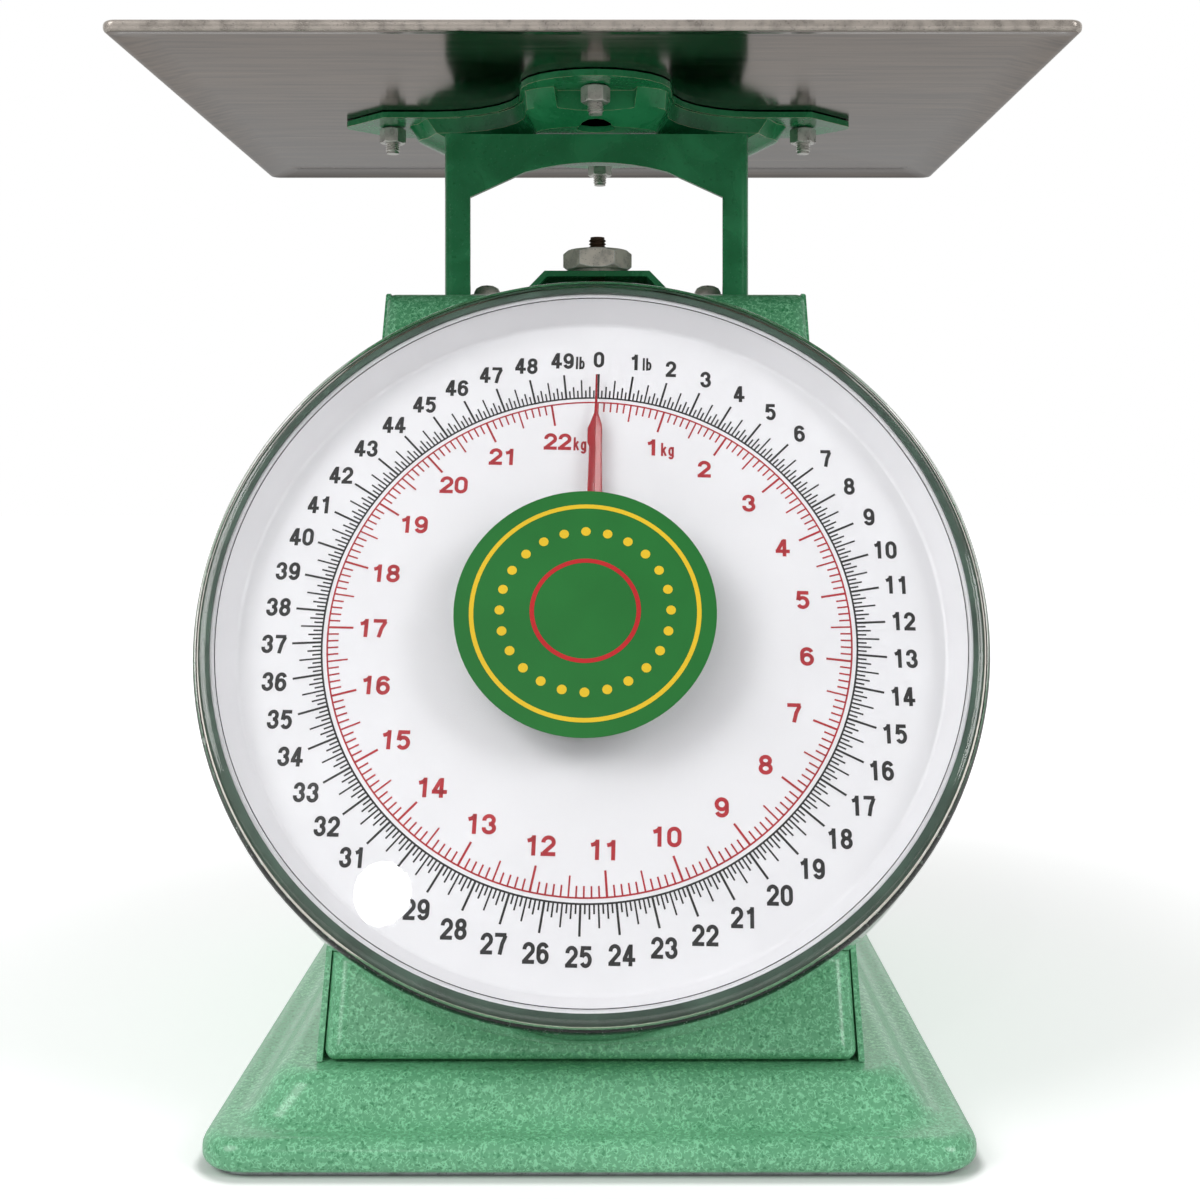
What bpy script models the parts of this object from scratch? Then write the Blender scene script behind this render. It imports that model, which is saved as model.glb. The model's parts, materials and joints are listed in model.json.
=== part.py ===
"""Mechanical dial platform scale.

Metres, +Z up, the dial faces -Y. The origin is under the middle of the scale's box, on the surface it
stands on. Most pieces are modelled about the load axis, the upright line under the middle of the tray,
and the dial's pieces about the dial axis, which leans back with the front panel.
"""
import math

import bmesh
import bpy
from mathutils import Vector

# Facets round a large and a small circle
ROUND_STEPS = 64
SMALL_STEPS = 16

# Clearances
SEAT_GAP = 0.0003
RUN_GAP = 0.0001
BAR_GAP = 0.0004
YOKE_SLOT_GAP = 0.0015

# Tray
TRAY_WIDTH = 0.269
TRAY_DEPTH = 0.218
TRAY_HEIGHT = 0.2937
TRAY_SHEET = 0.0012
TRAY_HEM_HEIGHT = 0.0032
TRAY_HEM_WIDTH = 0.0026
TRAY_CORNER = 0.004
TRAY_EDGE_ROUND = 0.0009

# Tray bracket, a dished four-arm pressing, and its studs
SPIDER_SETBACK = 0.013
SPIDER_SHEET = 0.002
SPIDER_REACH_X = 0.0875
SPIDER_REACH_Y = 0.0738
SPIDER_SIDE_ARM = 0.033
SPIDER_SHOULDER_X = 0.0725
SPIDER_FRONT_ARM = 0.048
SPIDER_END_RISE = 0.021
SPIDER_FILLET = 0.031
SPIDER_TIP_ROUND = 0.0045
DISH_DEPTH = 0.010
DISH_INSET = 0.001
DISH_REACH_X = 0.0665
DISH_FRONT_Y = 0.0625
DISH_REAR_Y = 0.045
DISH_CREASE_DROP = 0.0069
DISH_CREASE_INSET = 0.0014
DISH_CREASE_REACH_X = 0.0625
DISH_CREASE_FRONT_Y = 0.0575
DISH_CREASE_REAR_Y = 0.032
DISH_FLOOR_INSET = 0.0045
DISH_FLOOR_REACH_X = 0.052
DISH_FLOOR_FRONT_Y = 0.0488
DISH_FLOOR_REAR_Y = 0.0165
DISH_END_ROUND = 0.008
DISH_END_RISE = 0.010
DISH_RISE_SHARE = 0.33
DISH_FILLET_SHARE = 0.95
POCKET_FRONT_WIDTH = 0.032
POCKET_BACK_WIDTH = 0.024
POCKET_LENGTH = 0.012
DRAIN_HOLE_RADIUS = 0.0062
STUD_REACH_X = 0.0715
STUD_REACH_Y = 0.061
STUD_RADIUS = 0.0025
STUD_END = 0.0035
NUT_FLATS = 0.008
NUT_HEIGHT = 0.0052
NUT_CHAMFER = math.radians(35)

# Yoke
YOKE_WIDTH = 0.0989
YOKE_DEPTH = 0.052
YOKE_SHEET = 0.002
YOKE_BEND = 0.003
POST_WIDTH = 0.0085
ARCH_APEX_DROP = 0.0092
ARCH_KNEE_DROP = 0.0123
ARCH_CORNER_DROP = 0.0205
ARCH_KNEE_HALF = 0.023
YOKE_TAB_INNER = 0.024
YOKE_TAB_DEPTH = 0.030
YOKE_FOOT = 0.008

# Base pan and bottom plate
BASE_WIDTH = 0.191
BASE_FRONT = 0.161
BASE_REAR = 0.098
BASE_HEIGHT = 0.0195
BASE_CORNER = 0.012
BASE_CORNER_LEAST = 0.003
BASE_SHEET = 0.0012
LIP_HEIGHT = 0.0088
LIP_ROUND = 0.0035
LIP_CHAMFER = 0.0008
FLANGE_WIDTH = 0.009
SLOPE_RUN = 0.0075
SLOPE_ROUND = 0.0016
BOTTOM_SHEET = 0.0012
BOTTOM_INSET = 0.003
BOTTOM_LIP = 0.012

# Housing shell and front panel
HOUSING_WIDTH = 0.137
HOUSING_HEIGHT = 0.2269
HOUSING_SHEET = 0.0015
HOUSING_ROUND = 0.005
HOUSING_REAR_TOP = 0.040
HOUSING_REAR_BOTTOM = 0.076
PANEL_FRONT = 0.141
PANEL_SHEET = 0.0012
PANEL_DEPTH = 0.008
PANEL_SIDE_GAP = 0.001
PANEL_ROUND = 0.0038
FACE_TILT = math.radians(26.0)

# Dial drum, dial plate and clear cover, as radius and depth off the panel's face
DIAL_RISE = 0.1103
COVER_RADIUS = 0.106
COVER_FRONT = 0.031
COVER_WALL = 0.0018
COVER_EDGE_ROUND = 0.004
COVER_SKIRT = 0.024
CAN_WALL = 0.001
CAN_FIT = 0.0004
CAN_LIP = 0.0028
CAN_HOLE = 0.008
DIAL_SHEET = 0.0008
DIAL_FACE_DEPTH = 0.0125
DIAL_CONE_RUN = 0.0055
DIAL_RIM = 0.0017
DIAL_HOLE = 0.004

# Pointer and its shaft
POINTER_LENGTH = 0.078
POINTER_TIP_WIDTH = 0.0004
POINTER_NECK_WIDTH = 0.001
POINTER_BULGE = 0.0597
POINTER_BULGE_LENGTH = 0.006
POINTER_BULGE_WIDTH = 0.0028
POINTER_WAIST_WIDTH = 0.002
POINTER_ROOT_WIDTH = 0.006
POINTER_TAIL = 0.024
POINTER_TAIL_WIDTH = 0.0048
POINTER_SHEET = 0.0009
POINTER_LIFT = 0.0022
POINTER_HUB_RADIUS = 0.007
CAP_RADIUS = 0.0042
CAP_HEIGHT = 0.0026
SHAFT_RADIUS = 0.0015
COLLAR_RADIUS = 0.0028
COLLAR_LENGTH = 0.002
BUSH_RADIUS = 0.004
BUSH_FLANGE = 0.006
BUSH_FLANGE_SHEET = 0.0012
BRACKET_SHEET = 0.0015
BRACKET_WIDTH = 0.038
BRACKET_HEIGHT = 0.018
BRACKET_FOOT = 0.010

# Rack and pinion
PINION_TEETH = 12
PINION_PITCH_RADIUS = 0.003
PINION_LENGTH = 0.008
TOOTH_ADDENDUM = 0.00045
TOOTH_DEDENDUM = 0.00065
TOOTH_ROOT_HALF = 0.27
TOOTH_TIP_HALF = 0.12
MESH_GAP = 0.00015
RACK_TEETH = 19
RACK_SPARE_TEETH = 3
RACK_FORWARD = 0.040
RACK_WIDTH = 0.006
RACK_BACK = 0.005
RACK_ARM_HEIGHT = 0.007
RACK_ROOM = 0.004

# Guide linkage and load bar
LINK_LENGTH = 0.068
LINK_EYE = 0.0055
LINK_SHEET = 0.002
LINK_WIDTH = 0.074
LINK_WEB = 0.014
LINK_WEB_START = 0.006
LINK_PIN_Y = 0.0176
LINK_PIN_RADIUS = 0.0025
PIN_HEAD_RADIUS = 0.0042
PIN_HEAD_LENGTH = 0.0015
UPPER_LINK_HEIGHT = 0.180
LOWER_LINK_HEIGHT = 0.052
LINK_BAR_ROOM = 0.006
FRAME_SHEET = 0.002
FRAME_DEPTH = 0.015
FRAME_GAP = 0.0045
LOAD_BAR_RADIUS = 0.0035
RACK_HUB_RADIUS = 0.0075

# Zero adjuster and main springs
BRIDGE_SHEET = 0.002
BRIDGE_DEPTH = 0.024
BRIDGE_REACH = 0.0435
BRIDGE_STEP_HALF = 0.0245
BRIDGE_TOP_HALF = 0.0165
BRIDGE_RISE = 0.0082
BRIDGE_SCREW_X = 0.0375
SCREW_RADIUS = 0.0028
SCREW_LENGTH = 0.012
SCREW_HEAD_RADIUS = 0.0046
SCREW_HEAD_HEIGHT = 0.0034
WASHER_RADIUS = 0.0058
WASHER_SHEET = 0.001
ZERO_NUT_FLATS = 0.0203
ZERO_NUT_HEIGHT = 0.0066
ZERO_NUT_BOSS_RADIUS = 0.0077
ZERO_NUT_BOSS = 0.0012
ROD_RADIUS = 0.0029
ROD_ABOVE_NUT = 0.0046
HANGER_DROP = 0.022
HANGER_RADIUS = 0.003
HANGER_LENGTH = 0.064
ROD_EYE_RADIUS = 0.0075
ROD_EYE_WIDTH = 0.008
SPRING_X = 0.0225
SPRING_WIRE = 0.0028
SPRING_RADIUS = 0.0075
SPRING_TURNS = 12
POINTS_PER_TURN = 8
HOOK_END = -80
HOOK_STEP = 26

# Heights and places that follow from the sizes above
TRAY_UNDER = TRAY_HEIGHT - TRAY_SHEET
SPIDER_TOP = TRAY_UNDER - SEAT_GAP
SPIDER_UNDER = SPIDER_TOP - SPIDER_SHEET
DISH_UNDER = SPIDER_UNDER - DISH_DEPTH
YOKE_TOP = DISH_UNDER - SEAT_GAP
YOKE_FRONT_Y = -YOKE_DEPTH / 2
HOUSING_FOOT = BASE_HEIGHT + SEAT_GAP
TAN_TILT = math.tan(FACE_TILT)
COS_TILT = math.cos(FACE_TILT)
SIN_TILT = math.sin(FACE_TILT)
DIAL_Y = -PANEL_FRONT + DIAL_RISE * SIN_TILT
DIAL_Z = HOUSING_FOOT + DIAL_RISE * COS_TILT
TRAVEL = 2 * math.pi * PINION_PITCH_RADIUS / COS_TILT
LINK_DROP = TRAVEL / 2
LINK_ANGLE = math.asin(LINK_DROP / LINK_LENGTH)
LINK_SLACK = LINK_LENGTH * (1 - math.cos(LINK_ANGLE)) / 2
PIVOT_Y = LINK_PIN_Y - LINK_LENGTH + LINK_SLACK
LOAD_BAR_Z = LOWER_LINK_HEIGHT + LINK_EYE + LINK_BAR_ROOM + LOAD_BAR_RADIUS
YOKE_BOTTOM = LOWER_LINK_HEIGHT - YOKE_FOOT
BRIDGE_FOOT = HOUSING_HEIGHT + SEAT_GAP
BRIDGE_TOP = BRIDGE_FOOT + BRIDGE_SHEET + BRIDGE_RISE
ZERO_NUT_Z = BRIDGE_TOP + SEAT_GAP + ZERO_NUT_BOSS
ROD_TOP = ZERO_NUT_Z + ZERO_NUT_HEIGHT + ROD_ABOVE_NUT
HANGER_Z = HOUSING_HEIGHT - HANGER_DROP
CAN_RADIUS = COVER_RADIUS - COVER_WALL - CAN_FIT
CAN_FRONT = COVER_FRONT - COVER_WALL - CAN_FIT
DIAL_FACE = COVER_FRONT - DIAL_FACE_DEPTH
DIAL_RIM_FRONT = CAN_FRONT - CAN_WALL - SEAT_GAP
PINION_W = (DIAL_Y + RACK_FORWARD) / COS_TILT
PINION_Z = DIAL_Z + PINION_W * SIN_TILT
BRACKET_W = PINION_W - PINION_LENGTH / 2 - RACK_ROOM - BUSH_FLANGE_SHEET - SEAT_GAP


def arc(cx, cy, radius, start, end, steps):
    """Points on a circle between two angles in degrees."""
    span = math.radians(end - start)
    angles = [math.radians(start) + span * i / steps for i in range(steps + 1)]
    return [(cx + radius * math.cos(a), cy + radius * math.sin(a)) for a in angles]


def rounded_rectangle(x0, x1, y0, y1, radius, steps=5):
    """Outline of a rectangle with round corners, counter-clockwise."""
    return (arc(x1 - radius, y0 + radius, radius, -90, 0, steps)
            + arc(x1 - radius, y1 - radius, radius, 0, 90, steps)
            + arc(x0 + radius, y1 - radius, radius, 90, 180, steps)
            + arc(x0 + radius, y0 + radius, radius, 180, 270, steps))


def circle(cx, cy, radius, steps=SMALL_STEPS):
    return arc(cx, cy, radius, 0, 360 - 360 / steps, steps - 1)


def dome(radius, low, height, steps=3):
    """Profile of a domed end, from its middle out to its rim."""
    angles = [math.pi / 2 * i / steps for i in range(steps + 1)]
    return [(radius * math.sin(a), low + height * math.cos(a)) for a in angles]


def in_plane(point, height, plane):
    a, b = point
    return {"XY": (a, b, height), "XZ": (a, height, b), "YZ": (height, a, b)}[plane]


def closed(bm):
    """Merges what coincides and turns every face outwards."""
    bmesh.ops.remove_doubles(bm, verts=bm.verts, dist=1e-6)
    bmesh.ops.recalc_face_normals(bm, faces=bm.faces)
    return bm


def prism(outline, low, high, plane="XY"):
    """An outline pushed square to its plane, from low to high."""
    bm = bmesh.new()
    face = bm.faces.new([bm.verts.new(in_plane(p, low, plane)) for p in outline])
    pushed = bmesh.ops.extrude_face_region(bm, geom=[face])["geom"]
    step = Vector(in_plane((0, 0), high - low, plane))
    bmesh.ops.translate(bm, vec=step, verts=[v for v in pushed if isinstance(v, bmesh.types.BMVert)])
    return closed(bm)


def loft(rings, hollow=False):
    """Rings of equal length joined in order; a hollow loft joins the last ring to the first."""
    bm = bmesh.new()
    loops = [[bm.verts.new(p) for p in ring] for ring in rings]
    pairs = list(zip(loops, loops[1:])) + ([(loops[-1], loops[0])] if hollow else [])
    for low, high in pairs:
        for i, start in enumerate(low):
            j = (i + 1) % len(low)
            bm.faces.new((start, low[j], high[j], high[i]))
    if not hollow:
        bm.faces.new(loops[0])
        bm.faces.new(loops[-1])
    return closed(bm)


def turned(profile, steps=SMALL_STEPS, axis="Z"):
    """A (radius, height) profile spun round an axis; a profile off the axis closes on itself."""
    bm = bmesh.new()
    verts = [bm.verts.new((r, 0, h) if axis == "Z" else (h, r, 0)) for r, h in profile]
    ends = list(zip(verts, verts[1:]))
    if profile[0][0] > 0:
        ends.append((verts[-1], verts[0]))
    edges = [bm.edges.new(pair) for pair in ends]
    direction = (0, 0, 1) if axis == "Z" else (1, 0, 0)
    bmesh.ops.spin(bm, geom=verts + edges, cent=(0, 0, 0), axis=direction,
                   angle=math.tau, steps=steps, use_merge=True)
    return closed(bm)


def moved(bm, x=0.0, y=0.0, z=0.0):
    bmesh.ops.translate(bm, vec=(x, y, z), verts=bm.verts)
    return bm


def finish(name, color, roughness, metallic=0.0, alpha=1.0):
    material = bpy.data.materials.new(name)
    material.use_nodes = True
    shader = material.node_tree.nodes["Principled BSDF"]
    shader.inputs["Base Color"].default_value = (*color, 1.0)
    shader.inputs["Roughness"].default_value = roughness
    shader.inputs["Metallic"].default_value = metallic
    shader.inputs["Alpha"].default_value = alpha
    return material


def add_object(name, bm, parent):
    mesh = bpy.data.meshes.new(name)
    bm.to_mesh(mesh)
    bm.free()
    obj = bpy.data.objects.new(name, mesh)
    bpy.context.collection.objects.link(obj)
    obj.parent = parent
    return obj


def piece(name, bm, material, parent, smooth=True):
    """One sub-part of the scale."""
    obj = add_object(name, bm, parent)
    obj.data.materials.append(material)
    if smooth:
        obj.data.shade_smooth()
        obj.data.set_sharp_from_angle(angle=math.radians(35))
    return obj


def shape(obj, bm, operation="DIFFERENCE", parent=None):
    """Cuts a tool out of a piece, or joins it on; the tool stands in the piece's frame or a given one."""
    tool = add_object(f"{obj.name}.tool", bm, parent or obj.parent)
    tool.hide_render = True
    tool.display_type = "WIRE"
    modifier = obj.modifiers.new(operation.lower(), "BOOLEAN")
    modifier.operation = operation
    modifier.solver = "EXACT"
    modifier.object = tool


def empty(name, parent, location, tilt=0.0):
    obj = bpy.data.objects.new(name, None)
    bpy.context.collection.objects.link(obj)
    obj.parent = parent
    obj.location = location
    obj.rotation_euler = (tilt, 0, 0)
    return obj


def cylinder(radius, low, high, x=0.0, y=0.0):
    return prism(circle(x, y, radius), low, high)


def cross_cylinder(radius, low, high, y, z):
    """A cylinder along X."""
    return prism(circle(y, z, radius), low, high, "YZ")


def hex_nut(flats, height, bore, boss=None, steps=12):
    """A nut on Z = 0 with a flat to the front, its corners cut back at both ends, on an optional boss."""
    flat = flats / 2
    angles = [math.tau * i / steps for i in range(steps)]
    rim = [flat / math.cos(a % (math.pi / 3) - math.pi / 6) for a in angles]
    fall = [math.tan(NUT_CHAMFER) * (r - flat) for r in rim]

    def ring(radii, heights):
        return [(r * math.cos(a), r * math.sin(a), h) for r, a, h in zip(radii, angles, heights)]

    def level(radius, h):
        return ring([radius] * steps, [h] * steps)

    foot = [] if boss is None else [level(boss[0], -boss[1]), level(boss[0], 0)]
    start = 0 if boss is None else -boss[1]
    rings = [level(bore, start), *foot, level(flat, 0), ring(rim, fall),
             ring(rim, [height - f for f in fall]), level(flat, height), level(bore, height)]
    return loft(rings, hollow=True)


def clear_scene():
    for obj in list(bpy.data.objects):
        bpy.data.objects.remove(obj, do_unlink=True)


def cover_outline():
    """The clear cover's outer profile, from its middle to the end of its skirt."""
    edge = arc(COVER_RADIUS - COVER_EDGE_ROUND, COVER_FRONT - COVER_EDGE_ROUND, COVER_EDGE_ROUND, 90, 0, 4)
    return [(0, COVER_FRONT)] + edge + [(COVER_RADIUS, COVER_FRONT - COVER_SKIRT)]


def load_axis_y():
    """The load axis lies behind the middle of the box, which the cover, the base and the tray bound."""
    cover_reach = max(r * SIN_TILT + w * COS_TILT for r, w in cover_outline()) - DIAL_Y
    front = max(cover_reach, BASE_FRONT, TRAY_DEPTH / 2)
    rear = max(TRAY_DEPTH / 2, BASE_REAR)
    return (front - rear) / 2


def make_base(paint, bare, axis):
    def ring(inset, height):
        radius = max(BASE_CORNER - inset, BASE_CORNER_LEAST)
        outline = rounded_rectangle(inset - BASE_WIDTH / 2, BASE_WIDTH / 2 - inset,
                                    inset - BASE_FRONT, BASE_REAR - inset, radius)
        return [(x, y, height) for x, y in outline]

    lip = arc(LIP_ROUND, LIP_HEIGHT - LIP_ROUND, LIP_ROUND, 180, 90, 3)
    slope_top = FLANGE_WIDTH + SLOPE_RUN
    rings = [ring(LIP_CHAMFER, 0), ring(0, LIP_CHAMFER)] + [ring(*p) for p in lip]
    rings += [ring(FLANGE_WIDTH - SLOPE_ROUND, LIP_HEIGHT),
              ring(FLANGE_WIDTH, LIP_HEIGHT + SLOPE_ROUND / 2),
              ring(slope_top - SLOPE_ROUND / 2, BASE_HEIGHT - SLOPE_ROUND),
              ring(slope_top, BASE_HEIGHT - SLOPE_ROUND / 3),
              ring(slope_top + SLOPE_ROUND, BASE_HEIGHT)]
    pan = piece("base_pan", loft(rings), paint, axis)
    seat = BOTTOM_SHEET + SEAT_GAP
    seat_inset = BOTTOM_INSET - SEAT_GAP
    wall = BASE_SHEET + LIP_ROUND / 2
    shape(pan, loft([ring(seat_inset, -BASE_SHEET), ring(seat_inset, seat), ring(BOTTOM_LIP, seat),
                     ring(BOTTOM_LIP, seat + BASE_SHEET), ring(wall, seat + BASE_SHEET),
                     ring(wall, LIP_HEIGHT - LIP_ROUND), ring(wall + LIP_ROUND, LIP_HEIGHT - BASE_SHEET),
                     ring(FLANGE_WIDTH + BASE_SHEET, LIP_HEIGHT - BASE_SHEET),
                     ring(slope_top + BASE_SHEET, BASE_HEIGHT - BASE_SHEET)]))
    piece("bottom_plate", loft([ring(BOTTOM_INSET, 0), ring(BOTTOM_INSET, BOTTOM_SHEET)]), bare, axis)


def face_y(z, behind=0.0):
    """Where the leaning front face, or a plane some way behind it, is at a height."""
    return behind - PANEL_FRONT + (z - HOUSING_FOOT) * TAN_TILT


def slanted_block(half_width, front, rear_low, rear_high, low, high, rounds):
    """A block whose front leans back with the dial; rounds maps named edges to their radius."""
    outline = [(face_y(low, front), low), (face_y(high, front), high), (rear_high, high), (rear_low, low)]
    bm = prism(outline, -half_width, half_width, "YZ")

    def on_edge(edge, name):
        a, b = (v.co for v in edge.verts)
        middle = (a + b) / 2
        at_side = abs(abs(middle.x) - half_width) < 1e-6
        at_front = abs(middle.y - face_y(middle.z, front)) < 1e-6
        if name == "front":
            return at_front
        level = abs(a.z - b.z) < 1e-6
        at_place = level and abs(middle.z - high) < 1e-6 if name == "top" else not level
        return at_side and at_place and not at_front

    for name, radius in rounds.items():
        edges = [e for e in bm.edges if on_edge(e, name)]
        bmesh.ops.bevel(bm, geom=edges, offset=radius, segments=3, profile=0.5,
                        affect="EDGES", clamp_overlap=True)
    return closed(bm)


def make_housing(paint, axis, dial_axis):
    half = HOUSING_WIDTH / 2
    inner = half - HOUSING_SHEET
    outer_round, inner_round = HOUSING_ROUND, HOUSING_ROUND - HOUSING_SHEET
    body = slanted_block(half, PANEL_SHEET / 2, HOUSING_REAR_BOTTOM, HOUSING_REAR_TOP, HOUSING_FOOT,
                         HOUSING_HEIGHT, {"rear": outer_round, "top": outer_round})
    shell = piece("housing_shell", body, paint, axis)
    rear_slope = (HOUSING_REAR_BOTTOM - HOUSING_REAR_TOP) / (HOUSING_HEIGHT - HOUSING_FOOT)
    below, above = HOUSING_FOOT - HOUSING_ROUND, HOUSING_HEIGHT + HOUSING_SHEET
    cavity_top = HOUSING_HEIGHT - HOUSING_SHEET
    rear_low = HOUSING_REAR_BOTTOM - HOUSING_SHEET + rear_slope * HOUSING_ROUND
    rear_high = HOUSING_REAR_TOP - HOUSING_SHEET + rear_slope * HOUSING_SHEET
    shape(shell, slanted_block(inner, -PANEL_DEPTH, rear_low, rear_high, below, cavity_top,
                               {"rear": inner_round, "top": inner_round}))
    notch = PANEL_DEPTH + SEAT_GAP
    shape(shell, slanted_block(inner, -PANEL_DEPTH, face_y(HOUSING_FOOT, notch), face_y(above, notch),
                               HOUSING_FOOT, above, {}))
    slot_outer = YOKE_WIDTH / 2 + YOKE_SLOT_GAP
    slot_inner = YOKE_WIDTH / 2 - YOKE_SHEET - YOKE_SLOT_GAP
    slot_front = YOKE_FRONT_Y - YOKE_SLOT_GAP
    slot_back = -YOKE_FRONT_Y + YOKE_SLOT_GAP
    post_inner = YOKE_WIDTH / 2 - POST_WIDTH - YOKE_SLOT_GAP
    post_back = YOKE_FRONT_Y + YOKE_SHEET + YOKE_SLOT_GAP
    roof_low = cavity_top - HOUSING_SHEET
    for side in (-1, 1):
        slot = [(slot_outer, slot_front), (slot_outer, slot_back), (slot_inner, slot_back),
                (slot_inner, post_back), (post_inner, post_back), (post_inner, slot_front)]
        shape(shell, prism([(side * x, y) for x, y in slot], roof_low, above))
        shape(shell, cylinder(SCREW_RADIUS + SEAT_GAP, roof_low, above, x=side * BRIDGE_SCREW_X))
    shape(shell, cylinder(ROD_RADIUS + YOKE_SLOT_GAP, roof_low, above))

    panel_half = inner - PANEL_SIDE_GAP
    front = slanted_block(panel_half, 0, face_y(HOUSING_FOOT, PANEL_DEPTH),
                          face_y(HOUSING_HEIGHT, PANEL_DEPTH), HOUSING_FOOT, HOUSING_HEIGHT,
                          {"front": PANEL_ROUND})
    panel = piece("front_panel", front, paint, axis)
    hollow_low, hollow_high = HOUSING_FOOT + PANEL_SHEET, HOUSING_HEIGHT - PANEL_SHEET
    hollow_back = PANEL_DEPTH + PANEL_SHEET
    shape(panel, slanted_block(panel_half - PANEL_SHEET, PANEL_SHEET / COS_TILT,
                               face_y(hollow_low, hollow_back), face_y(hollow_high, hollow_back),
                               hollow_low, hollow_high, {"front": PANEL_ROUND - PANEL_SHEET}))
    shape(panel, cylinder(BUSH_RADIUS + RUN_GAP, -2 * PANEL_DEPTH, PANEL_DEPTH), parent=dial_axis)


def make_dial(paint, white, clear, axis):
    can_inner = CAN_RADIUS - CAN_WALL
    lip = CAN_RADIUS - CAN_LIP
    floor = SEAT_GAP + CAN_WALL
    edge = (COVER_RADIUS - COVER_EDGE_ROUND, COVER_FRONT - COVER_EDGE_ROUND)
    can = [(CAN_HOLE, SEAT_GAP), (can_inner, SEAT_GAP), (CAN_RADIUS, floor)]
    can += arc(*edge, COVER_EDGE_ROUND - COVER_WALL - CAN_FIT, 0, 90, 2)
    can += [(lip, CAN_FRONT), (lip, CAN_FRONT - CAN_WALL), (can_inner, CAN_FRONT - CAN_WALL),
            (can_inner, floor), (CAN_HOLE, floor)]
    piece("dial_can", turned(can, ROUND_STEPS), paint, axis)

    cone_top = lip - SEAT_GAP
    cone_foot = cone_top - DIAL_CONE_RUN
    rim = cone_top + DIAL_RIM
    rim_back, face_back, lean = DIAL_RIM_FRONT - DIAL_SHEET, DIAL_FACE - DIAL_SHEET, DIAL_SHEET / 2
    plate = [(DIAL_HOLE, DIAL_FACE), (cone_foot, DIAL_FACE), (cone_top, DIAL_RIM_FRONT),
             (rim, DIAL_RIM_FRONT), (rim, rim_back), (cone_top + lean, rim_back),
             (cone_foot + lean, face_back), (DIAL_HOLE, face_back)]
    piece("dial_plate", turned(plate, ROUND_STEPS), white, axis)

    outer = cover_outline()
    inner_round = COVER_EDGE_ROUND - COVER_WALL
    inner = [(COVER_RADIUS - COVER_WALL, COVER_FRONT - COVER_SKIRT)]
    inner += arc(*edge, inner_round, 0, 90, 3)
    piece("clear_cover", turned(outer + inner + [(0, COVER_FRONT - COVER_WALL)], ROUND_STEPS), clear, axis)


def pointer_blade():
    """A needle with a raised middle line: each station is a height up the dial and a width."""
    bulge_half = POINTER_BULGE_LENGTH / 2
    stations = [(POINTER_LENGTH, POINTER_TIP_WIDTH), (POINTER_BULGE + bulge_half, POINTER_NECK_WIDTH),
                (POINTER_BULGE, POINTER_BULGE_WIDTH), (POINTER_BULGE - bulge_half, POINTER_WAIST_WIDTH),
                (POINTER_HUB_RADIUS / 2, POINTER_ROOT_WIDTH), (-POINTER_TAIL, POINTER_TAIL_WIDTH)]
    base = DIAL_FACE + POINTER_LIFT
    return loft([[(-width / 2, v, base), (width / 2, v, base), (0, v, base + POINTER_SHEET)]
                 for v, width in stations])


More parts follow.
